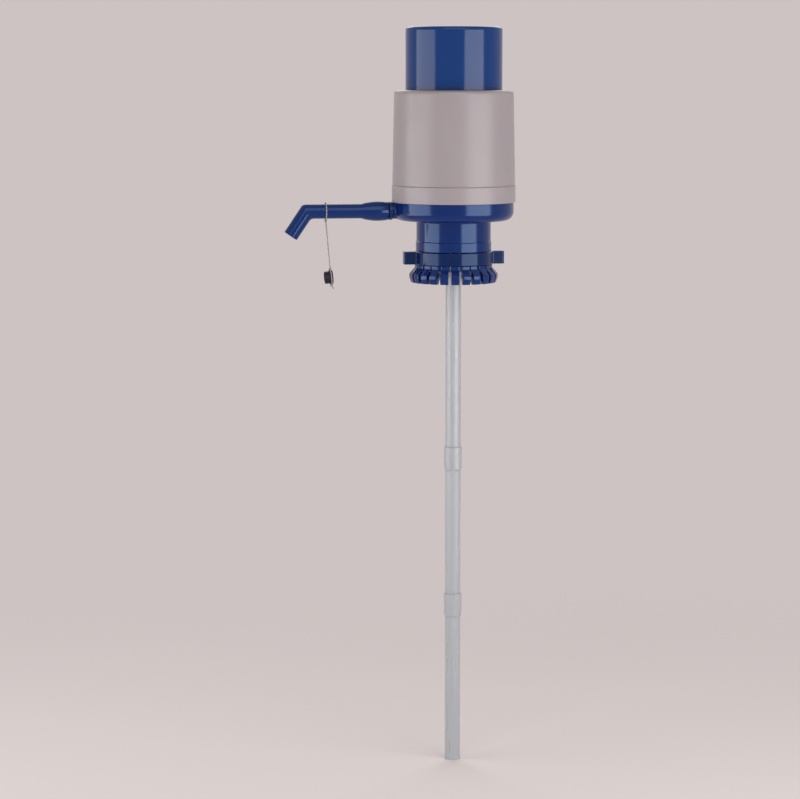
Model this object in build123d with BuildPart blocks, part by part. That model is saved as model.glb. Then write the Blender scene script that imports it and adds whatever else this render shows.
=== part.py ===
"""Hand pump for a five-gallon water bottle, modelled as separate sub-parts.

Millimetres. +Z is up and the spout points along -X. The origin is the centre of
the bottle's rim, where the gasket seats: what lies below z = 0 goes round the
neck of the bottle or down into it.
"""
from build123d import *
import math
import os

os.makedirs("parts", exist_ok=True)

# ---- Clearances -------------------------------------------------------------
fit_gap = 0.1          # radial, between pieces that are pushed together
running_gap = 0.3      # radial or axial, between pieces that turn or slide freely
swivel_gap = 0.1       # radial, between the spout and its stub

# ---- Neck of the pump -------------------------------------------------------
neck_radius = 27.5          # crown neck of the bottle
gasket_thickness = 3.0
gasket_overlap = 5.0        # of the gasket, inwards from the neck's outside
claw_neck_gap = 0.8         # radial, round the neck before the claws are closed
claw_stem_wall = 2.6
claw_count = 24
claw_band_width = 4.1
claw_band_height = 2.7
claw_flare = 4.85
claw_flare_height = 5.8
claw_bulge_height = 3.0
claw_tip_height = 4.5
claw_tip_draft = 1.55
claw_mouth_flare = 6.2
claw_grip_depth = 0.4
claw_grip_height = 1.4
claw_slot_width = 3.0
claw_slot_drop = 1.6        # top of a slot below the underside of the shoulder
stem_slot_width = 1.2
stem_ring_height = 6.0
pad_count = 6
pad_width = 3.2
pad_step = 0.5
pad_root = 2.0
pad_height = 8.0

ring_wall = 2.55
ring_height = 11.4
lug_reach = 10.5
lug_width = 10.0
lug_corner = 1.5
ring_edge = 0.6
cam_circle_radius = 25.0
cam_depth = 1.45
cam_lock_angle = 24.0

# ---- Base -------------------------------------------------------------------
collar_wall = 2.5
collar_drop = 4.0
collar_foot_height = 8.5
collar_foot_step = 0.5
floor_thickness = 3.0
floor_pocket_depth = 1.0
flange_radius = 54.0
flange_bottom = 23.5
flange_depth = 16.4
flange_corner = 8.0
dish_wall = 2.5
dish_corner = 5.0
spigot_wall = 2.5
spigot_height = 6.0
snap_height = 0.8
snap_depth = 0.4

# ---- Water way --------------------------------------------------------------
outlet_rise = 9.0           # spout axis above the underside of the flange
outlet_boss_wall = 1.0
outlet_boss_length = 2.0    # outside the flange
outlet_boss_inside = 3.7    # inside the dish's wall
water_bore_radius = 4.5
elbow_leg_wall = 2.1
elbow_socket_wall = 1.6
elbow_socket_reach = 24.0
elbow_socket_depth = 15.0
elbow_shoulder_step = 1.8
elbow_shoulder_height = 3.0
nipple_length = 22.0
nipple_barbs = 3
nipple_barb_depth = 0.45
nipple_barb_slope = 0.8     # share of a barb's pitch over which it widens
nipple_barb_step = 0.3
nipple_lead = 1.0
stub_radius = 6.2
stub_collar_step = 1.8
stub_collar_length = 3.0
stub_spigot_radius = 6.4
stub_spigot_length = 20.0
stub_spigot_chamfer = 1.0
stub_bore_radius = 4.2
o_ring_section = 0.72
o_ring_setback = 6.0
o_ring_groove_width = 2.2

# ---- Air way ----------------------------------------------------------------
deck_thickness = 2.2
deck_lift = 0.5             # clear height between the elbow and the deck
air_axis_x = 18.0
air_tube_wall = 1.4
air_bore_radius = 4.0
air_funnel_wall = 1.9
air_funnel_depth = 6.5
air_funnel_taper = 5.0

valve_flange_step = 1.5
valve_flange_height = 1.2
valve_body_radius = 7.9
valve_wall = 1.2
valve_disc_gap = 0.5
valve_disc_rest = 1.0       # width of the step that a disc lies on
valve_orifice_radius = 4.0
valve_seat_height = 1.0
valve_grid_height = 1.4
valve_bar_width = 1.4
valve_disc_thickness = 1.2
valve_travel = 1.5

# ---- Case, cap and bellows --------------------------------------------------
case_height = 100.0
case_overhang = 1.5         # beyond the flange
case_taper = 2.0
case_wall = 2.2
case_band_height = 15.6
case_band_step = 0.4
case_groove_height = 0.7    # fine groove along the top of the band
case_groove_depth = 0.65
case_corner = 3.5
guide_length = 11.0
guide_wall = 2.0

cap_radius = 43.35
cap_wall = 2.2
cap_top_thickness = 2.5
cap_corner = 3.0
cap_rim_width = 2.75        # flat rim round the shallow dish in the cap's top
cap_dish_slope = 1.6
cap_dish_depth = 0.8
cap_gate_radius = 1.8
cap_gate_depth = 0.3
cap_rise = 56.1             # top of the cap above the case when it is out
cap_stop_gap = 1.3          # between the cap's rim and the case
cap_stop_height = 2.4

plate_gap = 8.0             # air space between the cap and the top plate
plate_edge_gap = 0.75
plate_thickness = 2.4
bellows_flange = 1.2
bellows_neck_radius = 31.0
bellows_fold_depth = 7.5
bellows_wall = 1.4
bellows_lower_neck = 2.8
bellows_upper_neck = 6.0    # keeps the folds off the plate screws when the cap is down
bellows_folds = 10
clamp_ring_height = 2.2
ring_bore_gap = 1.5         # between a clamping ring and the bellows' neck
ring_edge_gap = 0.2         # between the lower clamping ring and the deck screws
top_ring_setback = 0.7      # of the upper clamping ring from the plate's rim

# ---- Screws -----------------------------------------------------------------
screw_radius = 1.5
screw_head_radius = 2.8
screw_head_height = 2.0
screw_boss_radius = 3.2
screw_bite = 7.0            # thread length in a boss
screw_hole_spare = 1.0
deck_screw_edge = 4.7       # circle of the deck screws, inside the dish's wall
deck_screw_count = 4
deck_screw_start = 45.0
clamp_screw_edge = 3.6      # circle of the clamping screws, inside the ring's rim
clamp_screw_count = 6
clamp_screw_start = 30.0
plate_screw_edge = 4.2      # circle of the plate's screws, inside its rim
plate_screw_count = 4
plate_screw_start = 45.0

# ---- Riser tubes ------------------------------------------------------------
tube_radius = 7.0
tube_wall = 1.0
tube_socket_depth = 20.0
tube_socket_taper = 2.0
upper_tube_length = 205.0
middle_tube_length = 155.0
lower_tube_length = 155.0

# ---- Spout ------------------------------------------------------------------
spout_bore_radius = 5.2
spout_wall = 1.45
spout_reach = 132.8         # from the pump's axis to the bend
spout_tip_length = 26.4
spout_tip_angle = 56.0      # below the horizontal
spout_mouth_step = 0.45     # seat of the dust cap's stem
spout_mouth_depth = 6.0
spout_socket_wall = 1.5
spout_swell = 1.0
spout_socket_length = 19.5
spout_socket_taper = 6.0

# ---- Dust cap and thread ----------------------------------------------------
thread_radius = 0.6
thread_setback = 16.8       # from the spout's bend to the thread
thread_length = 45.5
thread_lean = 5.0           # degrees from plumb, towards the base
thread_tail_length = 4.0
thread_tail_lean = 30.0
knot_radius = 1.1
plug_head_step = 0.75       # head of the dust cap beyond its stem
plug_head_height = 3.2
plug_edge = 0.6
plug_groove_depth = 0.7
plug_groove_width = 1.4
plug_stem_length = 4.0
plug_stem_wall = 1.45
plug_top_wall = 1.6

# ---- Levels and places worked out from the sizes above ----------------------
floor_bottom = gasket_thickness
floor_top = floor_bottom + floor_thickness
pocket_bottom = floor_top - floor_pocket_depth
dish_floor = flange_bottom + dish_wall
flange_top = flange_bottom + flange_depth
outlet_z = flange_bottom + outlet_rise

gasket_bore_radius = neck_radius - gasket_overlap
claw_bore_radius = neck_radius + claw_neck_gap
claw_stem_radius = claw_bore_radius + claw_stem_wall
claw_band_radius = claw_stem_radius + claw_band_width
claw_bulge_radius = claw_band_radius + claw_flare
claw_tip_radius = claw_bulge_radius - claw_tip_draft
claw_mouth_radius = claw_bore_radius + claw_mouth_flare
pad_radius = claw_stem_radius + pad_step
pad_angle = 180.0 / claw_count
ring_top = -collar_drop - running_gap
ring_bottom = ring_top - ring_height
claw_band_top = ring_bottom - running_gap
claw_band_bottom = claw_band_top - claw_band_height
claw_bulge_top = claw_band_bottom - claw_flare_height
claw_bulge_bottom = claw_bulge_top - claw_bulge_height
claw_tip_z = claw_bulge_bottom - claw_tip_height
claw_slot_top = claw_band_bottom - claw_slot_drop
claw_grip_z = claw_slot_top - claw_grip_height / 2
ring_bore_radius = claw_stem_radius + running_gap
ring_radius = ring_bore_radius + cam_depth + ring_wall
lug_tip_radius = ring_radius + lug_reach

collar_bore_radius = claw_stem_radius + fit_gap
collar_radius = collar_bore_radius + collar_wall
case_bottom_radius = flange_radius + case_overhang
case_top_radius = case_bottom_radius - case_taper
case_bore_radius = case_bottom_radius - case_wall
case_top_bore_radius = case_top_radius - case_wall
spigot_radius = case_bore_radius - fit_gap
spigot_bore_radius = spigot_radius - spigot_wall
snap_z = flange_top + spigot_height - 2 * snap_height

elbow_socket_radius = stub_radius + fit_gap + elbow_socket_wall
elbow_leg_radius = water_bore_radius + elbow_leg_wall
elbow_shoulder_radius = elbow_leg_radius + elbow_shoulder_step
outlet_boss_radius = stub_radius + fit_gap + outlet_boss_wall
outlet_boss_reach = flange_radius + outlet_boss_length
outlet_boss_root = spigot_bore_radius - outlet_boss_inside
outlet_hole_depth = outlet_boss_reach - outlet_boss_root + outlet_boss_wall
deck_bottom = outlet_z + elbow_socket_radius + deck_lift
deck_top = deck_bottom + deck_thickness
deck_screw_circle = spigot_bore_radius - deck_screw_edge
air_tube_radius = air_bore_radius + air_tube_wall
valve_depth = valve_seat_height + valve_travel + valve_disc_thickness + valve_grid_height
valve_pocket_radius = valve_body_radius + fit_gap
valve_flange_radius = valve_body_radius + valve_flange_step
valve_disc_radius = valve_body_radius - valve_wall - valve_disc_gap
valve_exit_radius = valve_disc_radius - valve_disc_rest

case_top = flange_top + case_height
cap_top = case_top + cap_rise
cap_bore_radius = cap_radius - cap_wall
guide_bore_radius = cap_radius + 2 * running_gap
guide_bottom = case_top - guide_length
cap_stop_radius = case_top_bore_radius - cap_stop_gap
cap_stop_top = guide_bottom - running_gap
cap_bottom = cap_stop_top - cap_stop_height
cap_ceiling = cap_top - cap_top_thickness
plate_top = cap_ceiling - plate_gap
plate_bottom = plate_top - plate_thickness
plate_radius = cap_bore_radius - plate_edge_gap
plate_screw_circle = plate_radius - plate_screw_edge
top_ring_radius = plate_radius - top_ring_setback
clamp_ring_radius = deck_screw_circle - screw_head_radius - ring_edge_gap
clamp_screw_circle = clamp_ring_radius - clamp_screw_edge
bellows_bottom = deck_top
bellows_top = plate_bottom
bellows_peak_radius = bellows_neck_radius + bellows_fold_depth

tube_bore_radius = tube_radius - tube_wall
nipple_radius = tube_bore_radius - fit_gap / 2
stub_collar_radius = stub_spigot_radius + stub_collar_step
stub_collar_end = -outlet_boss_reach - stub_collar_length
stub_spigot_end = stub_collar_end - stub_spigot_length
spout_start = stub_collar_end - running_gap
spout_socket_bore_radius = stub_spigot_radius + swivel_gap
spout_socket_end_radius = spout_socket_bore_radius + spout_socket_wall
spout_socket_radius = spout_socket_end_radius + spout_swell
spout_radius = spout_bore_radius + spout_wall
spout_mouth_radius = spout_bore_radius + spout_mouth_step

tip_angle = math.radians(spout_tip_angle)
tip_direction = Vector(-math.cos(tip_angle), 0, -math.sin(tip_angle))
spout_bend = Vector(-spout_reach, 0, outlet_z)
spout_tip = spout_bend + tip_direction * spout_tip_length

thread_x = thread_setback - spout_reach
plug_stem_radius = spout_mouth_radius - fit_gap
plug_cup_radius = plug_stem_radius - plug_stem_wall
plug_cup_depth = plug_stem_length + plug_head_height - plug_top_wall
plug_head_radius = plug_stem_radius + plug_head_step

outlet_axis = Axis((0, 0, outlet_z), (1, 0, 0))


def outlet_plane(x):
    """Plane square to the outlet axis at x, facing the spout."""
    return Plane(origin=(x, 0, outlet_z), z_dir=(-1, 0, 0))


def save(piece, name):
    piece.part.label = name
    export_step(piece.part, f"parts/{name}.step")


def screw_set(count, circle, start_angle, seat_z, length, upwards=False):
    """Pan-head screws on a circle: heads on seat_z, shanks below it, or above."""
    turn = -1 if upwards else 1
    with BuildPart() as screws:
        with BuildSketch(Plane.XY.offset(seat_z)):
            with PolarLocations(circle, count, start_angle):
                Circle(screw_head_radius)
        extrude(amount=turn * screw_head_height)
        with BuildSketch(Plane.XY.offset(seat_z)):
            with PolarLocations(circle, count, start_angle):
                Circle(screw_radius)
        extrude(amount=-turn * length)
    return screws


def valve_cage(x, seat_z):
    """Cage of a disc valve: the orifice on top, a barred exit below."""
    with BuildPart() as cage:
        with BuildSketch(Plane.XZ.shift_origin((x, 0, seat_z))):
            with BuildLine():
                Polyline(
                    (valve_orifice_radius, valve_flange_height),
                    (valve_flange_radius, valve_flange_height),
                    (valve_flange_radius, 0),
                    (valve_body_radius, 0),
                    (valve_body_radius, -valve_depth),
                    (valve_exit_radius, -valve_depth),
                    (valve_exit_radius, valve_grid_height - valve_depth),
                    (valve_body_radius - valve_wall, valve_grid_height - valve_depth),
                    (valve_body_radius - valve_wall, -valve_seat_height),
                    (valve_orifice_radius, -valve_seat_height),
                    close=True,
                )
            make_face()
        revolve(axis=Axis((x, 0, 0), (0, 0, 1)))
        bar_length = 2 * valve_exit_radius + valve_wall
        with BuildSketch(Plane((x, 0, seat_z - valve_depth))):
            Rectangle(bar_length, valve_bar_width)
            Rectangle(valve_bar_width, bar_length)
        extrude(amount=valve_grid_height)
    return cage


def valve_disc(x, seat_z):
    """Disc of a valve, lying on the bars of its cage."""
    with BuildPart() as disc:
        with BuildSketch(Plane((x, 0, seat_z - valve_depth + valve_grid_height))):
            Circle(valve_disc_radius)
        extrude(amount=valve_disc_thickness)
    return disc


def riser_tube(top_z, length, socketed):
    """Riser section; a socketed one is belled at its top to take the one above."""
    bottom_z = top_z - length
    socket_floor = top_z - tube_socket_depth
    socket_bore = tube_radius + fit_gap / 2
    socket_radius = socket_bore + tube_wall
    with BuildPart() as tube:
        with BuildSketch(Plane.XZ):
            with BuildLine():
                if socketed:
                    Polyline(
                        (tube_bore_radius, bottom_z),
                        (tube_radius, bottom_z),
                        (tube_radius, socket_floor - tube_socket_taper),
                        (socket_radius, socket_floor),
                        (socket_radius, top_z),
                        (socket_bore, top_z),
                        (socket_bore, socket_floor),
                        (tube_bore_radius, socket_floor),
                        close=True,
                    )
                else:
                    Polyline(
                        (tube_bore_radius, bottom_z),
                        (tube_radius, bottom_z),
                        (tube_radius, top_z),
                        (tube_bore_radius, top_z),
                        close=True,
                    )
            make_face()
        revolve(axis=Axis.Z)
    return tube


# ---- base: dish, collar, floor over the bottle's mouth and outlet boss --------
with BuildPart() as base:
    foot_radius = collar_radius + collar_foot_step
    foot_top = collar_foot_height - collar_drop
    claw_snap_z = floor_bottom - stem_ring_height / 2
    with BuildSketch(Plane.XZ):
        with BuildLine():
            Polyline(
                (collar_bore_radius, -collar_drop),
                (foot_radius, -collar_drop),
                (foot_radius, foot_top),
                (collar_radius, foot_top + collar_foot_step),
                (collar_radius, flange_bottom),
                (flange_radius - flange_corner, flange_bottom),
            )
            TangentArc(
                (flange_radius - flange_corner, flange_bottom),
                (flange_radius, flange_bottom + flange_corner),
                tangent=(1, 0),
            )
            Polyline(
                (flange_radius, flange_bottom + flange_corner),
                (flange_radius, flange_top),
                (spigot_radius, flange_top),
                (spigot_radius, snap_z - snap_height),
                (spigot_radius + snap_depth, snap_z),
                (spigot_radius, snap_z + snap_height),
                (spigot_radius, flange_top + spigot_height),
                (spigot_bore_radius, flange_top + spigot_height),
                (spigot_bore_radius, dish_floor + dish_corner),
            )
            TangentArc(
                (spigot_bore_radius, dish_floor + dish_corner),
                (spigot_bore_radius - dish_corner, dish_floor),
                tangent=(0, -1),
            )
            Polyline(
                (spigot_bore_radius - dish_corner, dish_floor),
                (collar_bore_radius, dish_floor),
                (collar_bore_radius, floor_top),
                (nipple_radius + fit_gap, floor_top),
                (nipple_radius + fit_gap, floor_bottom),
                (collar_bore_radius, floor_bottom),
                (collar_bore_radius, claw_snap_z + snap_height),
                (collar_bore_radius + snap_depth, claw_snap_z),
                (collar_bore_radius, claw_snap_z - snap_height),
                (collar_bore_radius, -collar_drop),
            )
        make_face()
    revolve(axis=Axis.Z)
    with BuildSketch(outlet_plane(-outlet_boss_root)):
        Circle(outlet_boss_radius)
    extrude(amount=outlet_boss_reach - outlet_boss_root)
    with BuildSketch(outlet_plane(-outlet_boss_reach)):
        Circle(stub_radius + fit_gap)
    extrude(amount=-outlet_hole_depth, mode=Mode.SUBTRACT)
    boss_root_z = flange_bottom + dish_wall / 2
    with BuildSketch(Plane.XY.offset(boss_root_z)):
        with PolarLocations(deck_screw_circle, deck_screw_count, deck_screw_start):
            Circle(screw_boss_radius)
    extrude(amount=deck_bottom - boss_root_z)
    with BuildSketch(Plane.XY.offset(deck_bottom)):
        with PolarLocations(deck_screw_circle, deck_screw_count, deck_screw_start):
            Circle(screw_radius + fit_gap)
    extrude(amount=-screw_bite - screw_hole_spare, mode=Mode.SUBTRACT)
    with BuildSketch(Plane.XY.offset(pocket_bottom)):
        Circle(elbow_shoulder_radius + fit_gap)
        with Locations((air_axis_x, 0)):
            Circle(air_tube_radius + fit_gap)
    extrude(amount=floor_pocket_depth, mode=Mode.SUBTRACT)
    with BuildSketch(Plane.XY.offset(floor_bottom)):
        with Locations((air_axis_x, 0)):
            Circle(air_bore_radius)
    extrude(amount=floor_thickness, mode=Mode.SUBTRACT)
save(base, "base")

# ---- water_elbow: nipple, leg and the socket that takes the stub --------------
with BuildPart() as water_elbow:
    shoulder_top = pocket_bottom + elbow_shoulder_height
    nipple_bottom = floor_bottom - nipple_length
    barb_pitch = (nipple_length - 2 * floor_thickness) / nipple_barbs
    barb_root_radius = nipple_radius - nipple_barb_depth
    barbs_top = nipple_bottom + nipple_barbs * barb_pitch
    with BuildSketch(Plane.XZ):
        with BuildLine():
            barb_points = []
            for barb in range(nipple_barbs):
                root_z = nipple_bottom + barb * barb_pitch
                edge_z = root_z + barb_pitch * nipple_barb_slope
                barb_points.append((barb_root_radius, root_z))
                barb_points.append((nipple_radius, edge_z))
                barb_points.append((barb_root_radius, edge_z + nipple_barb_step))
            Polyline(
                (0, nipple_bottom),
                *barb_points,
                (barb_root_radius, barbs_top),
                (nipple_radius, barbs_top + nipple_lead),
                (nipple_radius, pocket_bottom),
                (elbow_shoulder_radius, pocket_bottom),
                (elbow_shoulder_radius, shoulder_top),
                (elbow_leg_radius, shoulder_top),
                (elbow_leg_radius, outlet_z),
                (0, outlet_z),
                close=True,
            )
        make_face()
    revolve(axis=Axis.Z)
    with Locations((0, 0, outlet_z)):
        Sphere(elbow_socket_radius)
    with BuildSketch(outlet_plane(0)):
        Circle(elbow_socket_radius)
    extrude(amount=elbow_socket_reach)
    with BuildSketch(Plane.XY.offset(nipple_bottom)):
        Circle(water_bore_radius)
    extrude(amount=outlet_z - nipple_bottom, mode=Mode.SUBTRACT)
    with Locations((0, 0, outlet_z)):
        Sphere(water_bore_radius, mode=Mode.SUBTRACT)
    with BuildSketch(outlet_plane(0)):
        Circle(water_bore_radius)
    extrude(amount=elbow_socket_reach, mode=Mode.SUBTRACT)
    with BuildSketch(outlet_plane(-elbow_socket_reach + elbow_socket_depth)):
        Circle(stub_radius + fit_gap)
    extrude(amount=elbow_socket_depth, mode=Mode.SUBTRACT)
save(water_elbow, "water_elbow")

# ---- outlet_stub: from the elbow through the boss to the spout ----------------
with BuildPart() as outlet_stub:
    stub_root = -elbow_socket_reach + elbow_socket_depth - fit_gap
    o_ring_x = stub_spigot_end + o_ring_setback
    groove_radius = spout_socket_bore_radius - 2 * o_ring_section - swivel_gap / 2
    with BuildSketch(Plane.XZ.shift_origin((0, 0, outlet_z))):
        with BuildLine():
            Polyline(
                (stub_root, stub_bore_radius),
                (stub_root, stub_radius),
                (-outlet_boss_reach, stub_radius),
                (-outlet_boss_reach, stub_collar_radius),
                (stub_collar_end, stub_collar_radius),
                (stub_collar_end, stub_spigot_radius),
                (o_ring_x + o_ring_groove_width / 2, stub_spigot_radius),
                (o_ring_x + o_ring_groove_width / 2, groove_radius),
                (o_ring_x - o_ring_groove_width / 2, groove_radius),
                (o_ring_x - o_ring_groove_width / 2, stub_spigot_radius),
                (stub_spigot_end + stub_spigot_chamfer, stub_spigot_radius),
                (stub_spigot_end, stub_spigot_radius - stub_spigot_chamfer),
                (stub_spigot_end, stub_bore_radius),
                close=True,
            )
        make_face()
    revolve(axis=outlet_axis)
save(outlet_stub, "outlet_stub")

# ---- spout_o_ring: in the groove of the stub ----------------------------------
with BuildPart() as spout_o_ring:
    with BuildSketch(Plane.XZ.shift_origin((o_ring_x, 0, outlet_z))):
        with Locations((0, groove_radius + swivel_gap / 4 + o_ring_section)):
            Circle(o_ring_section)
    revolve(axis=outlet_axis)
save(spout_o_ring, "spout_o_ring")

# ---- spout: swollen joint, straight arm, mitred tip ---------------------------
with BuildPart() as spout:
    swell_end = spout_start - spout_socket_length
    socket_floor = stub_spigot_end - running_gap
    with BuildSketch(Plane.XZ.shift_origin((0, 0, outlet_z))):
        with BuildLine():
            ThreePointArc(
                (spout_start, spout_socket_end_radius),
                ((spout_start + swell_end) / 2, spout_socket_radius),
                (swell_end, spout_socket_end_radius),
            )
            Polyline(
                (swell_end, spout_socket_end_radius),
                (swell_end - spout_socket_taper, spout_radius),
                (swell_end - spout_socket_taper, 0),
                (spout_start, 0),
                (spout_start, spout_socket_end_radius),
            )
        make_face()
    revolve(axis=outlet_axis)
    with BuildLine() as spout_path:
        Polyline(
            (swell_end, 0, outlet_z),
            spout_bend,
            spout_tip,
        )
    with BuildSketch(outlet_plane(swell_end)):
        Circle(spout_radius)
    sweep(path=spout_path.wire(), transition=Transition.RIGHT)
    with BuildSketch(outlet_plane(swell_end)):
        Circle(spout_bore_radius)
    sweep(path=spout_path.wire(), transition=Transition.RIGHT, mode=Mode.SUBTRACT)
    with BuildSketch(Plane(origin=spout_tip, z_dir=tip_direction)):
        Circle(spout_mouth_radius)
    extrude(amount=-spout_mouth_depth, mode=Mode.SUBTRACT)
    with BuildSketch(outlet_plane(spout_start)):
        Circle(spout_socket_bore_radius)
    extrude(amount=spout_start - socket_floor, mode=Mode.SUBTRACT)
    with BuildSketch(outlet_plane(spout_start)):
        Circle(spout_bore_radius)
    extrude(amount=spout_start - swell_end, mode=Mode.SUBTRACT)
save(spout, "spout")

# ---- deck: closes the base and leads the bellows' air down to the bottle -------
with BuildPart() as deck:
    with BuildSketch(Plane.XY.offset(deck_bottom)):
        Circle(spigot_bore_radius - 2 * fit_gap)
    extrude(amount=deck_thickness)
    funnel_radius = valve_pocket_radius + air_funnel_wall
    funnel_bottom = deck_top - air_funnel_depth
    with BuildSketch(Plane.XZ.shift_origin((air_axis_x, 0, 0))):
        with BuildLine():
            Polyline(
                (0, deck_bottom),
                (funnel_radius, deck_bottom),
                (funnel_radius, funnel_bottom),
                (air_tube_radius, funnel_bottom - air_funnel_taper),
                (air_tube_radius, pocket_bottom),
                (0, pocket_bottom),
                close=True,
            )
        make_face()
    revolve(axis=Axis((air_axis_x, 0, 0), (0, 0, 1)))
    with BuildSketch(Plane.XY.offset(deck_bottom)):
        with PolarLocations(clamp_screw_circle, clamp_screw_count, clamp_screw_start):
            Circle(screw_boss_radius)
    extrude(amount=-screw_bite)
    with BuildSketch(Plane((air_axis_x, 0, deck_top))):
        Circle(valve_pocket_radius)
    extrude(amount=-valve_depth - fit_gap, mode=Mode.SUBTRACT)
    with BuildSketch(Plane((air_axis_x, 0, deck_top))):
        Circle(air_bore_radius)
    extrude(amount=pocket_bottom - deck_top, mode=Mode.SUBTRACT)
    with BuildSketch(Plane.XY.offset(deck_top)):
        with PolarLocations(clamp_screw_circle, clamp_screw_count, clamp_screw_start):
            Circle(screw_radius + fit_gap)
        with PolarLocations(deck_screw_circle, deck_screw_count, deck_screw_start):
            Circle(screw_radius + fit_gap)
    extrude(amount=-deck_thickness - screw_bite, mode=Mode.SUBTRACT)
save(deck, "deck")
save(screw_set(deck_screw_count, deck_screw_circle, deck_screw_start, deck_top,
               deck_thickness + screw_bite), "deck_screws")

# ---- valves: the same disc valve in the deck and in the top plate --------------
save(valve_cage(air_axis_x, deck_top), "outlet_valve_cage")
save(valve_disc(air_axis_x, deck_top), "outlet_valve_disc")
save(valve_cage(0, plate_top), "intake_valve_cage")
save(valve_disc(0, plate_top), "intake_valve_disc")

# ---- outer_case: sleeve with a lower band, snap groove and guide for the cap ---
with BuildPart() as outer_case:
    band_top = flange_top + case_band_height
    groove_floor_radius = case_bottom_radius - case_band_step - case_groove_depth
    shoulder_radius = case_top_radius - case_corner
    with BuildSketch(Plane.XZ):
        with BuildLine():
            Polyline(
                (case_bore_radius, flange_top),
                (case_bottom_radius, flange_top),
                (case_bottom_radius, band_top - case_groove_height),
                (groove_floor_radius, band_top - case_groove_height),
                (groove_floor_radius, band_top),
                (case_bottom_radius - case_band_step, band_top),
                (case_top_radius, case_top - case_corner),
            )
            ThreePointArc(
                (case_top_radius, case_top - case_corner),
                (shoulder_radius + case_corner * math.sqrt(0.5),
                 case_top - case_corner + case_corner * math.sqrt(0.5)),
                (shoulder_radius, case_top),
            )
            Polyline(
                (shoulder_radius, case_top),
                (guide_bore_radius, case_top),
                (guide_bore_radius, guide_bottom),
                (guide_bore_radius + guide_wall, guide_bottom),
                (guide_bore_radius + guide_wall, case_top - case_wall),
                (case_top_bore_radius, case_top - case_wall),
                (case_bore_radius, band_top),
                (case_bore_radius, snap_z + snap_height),
                (case_bore_radius + snap_depth, snap_z),
                (case_bore_radius, snap_z - snap_height),
                (case_bore_radius, flange_top),
            )
        make_face()
    revolve(axis=Axis.Z)
save(outer_case, "outer_case")

# ---- press_cap: slides in the guide; its lower rim stops it --------------------
with BuildPart() as press_cap:
    dish_rim_radius = cap_radius - cap_corner - cap_rim_width
    dish_z = cap_top - cap_dish_depth
    with BuildSketch(Plane.XZ):
        with BuildLine():
            Polyline(
                (0, cap_ceiling),
                (cap_bore_radius, cap_ceiling),
                (cap_bore_radius, cap_bottom),
                (cap_stop_radius, cap_bottom),
                (cap_stop_radius, cap_stop_top),
                (cap_radius, cap_stop_top),
                (cap_radius, cap_top - cap_corner),
            )
            TangentArc(
                (cap_radius, cap_top - cap_corner),
                (cap_radius - cap_corner, cap_top),
                tangent=(0, 1),
            )
            Polyline(
                (cap_radius - cap_corner, cap_top),
                (dish_rim_radius, cap_top),
                (dish_rim_radius - cap_dish_slope, dish_z),
                (cap_gate_radius, dish_z),
                (cap_gate_radius, dish_z - cap_gate_depth),
                (0, dish_z - cap_gate_depth),
                (0, cap_ceiling),
            )
        make_face()
    revolve(axis=Axis.Z)
    with BuildSketch(Plane.XY.offset(plate_top)):
        with PolarLocations(plate_screw_circle, plate_screw_count, plate_screw_start):
            Circle(screw_boss_radius)
            Circle(screw_radius + fit_gap, mode=Mode.SUBTRACT)
    extrude(amount=plate_gap)
save(press_cap, "press_cap")

# ---- top_plate, top_ring: hold the bellows' upper flange under the cap ---------
with BuildPart() as top_plate:
    with BuildSketch(Plane.XY.offset(plate_bottom)):
        Circle(plate_radius)
        Circle(valve_pocket_radius, mode=Mode.SUBTRACT)
        with PolarLocations(plate_screw_circle, plate_screw_count, plate_screw_start):
            Circle(screw_radius + fit_gap, mode=Mode.SUBTRACT)
    extrude(amount=plate_thickness)
save(top_plate, "top_plate")

top_ring_bottom = plate_bottom - bellows_flange - clamp_ring_height
with BuildPart() as top_ring:
    with BuildSketch(Plane.XY.offset(top_ring_bottom)):
        Circle(top_ring_radius)
        Circle(bellows_neck_radius + ring_bore_gap, mode=Mode.SUBTRACT)
        with PolarLocations(plate_screw_circle, plate_screw_count, plate_screw_start):
            Circle(screw_radius + fit_gap, mode=Mode.SUBTRACT)
    extrude(amount=clamp_ring_height)
save(top_ring, "top_ring")
save(screw_set(plate_screw_count, plate_screw_circle, plate_screw_start, top_ring_bottom,
               clamp_ring_height + bellows_flange + plate_thickness + screw_bite,
               upwards=True), "top_plate_screws")

# ---- clamp_ring: holds the bellows' lower flange on the deck -------------------
clamp_ring_bottom = deck_top + bellows_flange
clamp_ring_top = clamp_ring_bottom + clamp_ring_height
with BuildPart() as clamp_ring:
    with BuildSketch(Plane.XY.offset(clamp_ring_bottom)):
        Circle(clamp_ring_radius)
        Circle(bellows_neck_radius + ring_bore_gap, mode=Mode.SUBTRACT)
        with PolarLocations(clamp_screw_circle, clamp_screw_count, clamp_screw_start):
            Circle(screw_radius + fit_gap, mode=Mode.SUBTRACT)
    extrude(amount=clamp_ring_height)
save(clamp_ring, "clamp_ring")
save(screw_set(clamp_screw_count, clamp_screw_circle, clamp_screw_start, clamp_ring_top,
               clamp_ring_height + bellows_flange + deck_thickness + screw_bite),
     "clamp_ring_screws")

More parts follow.
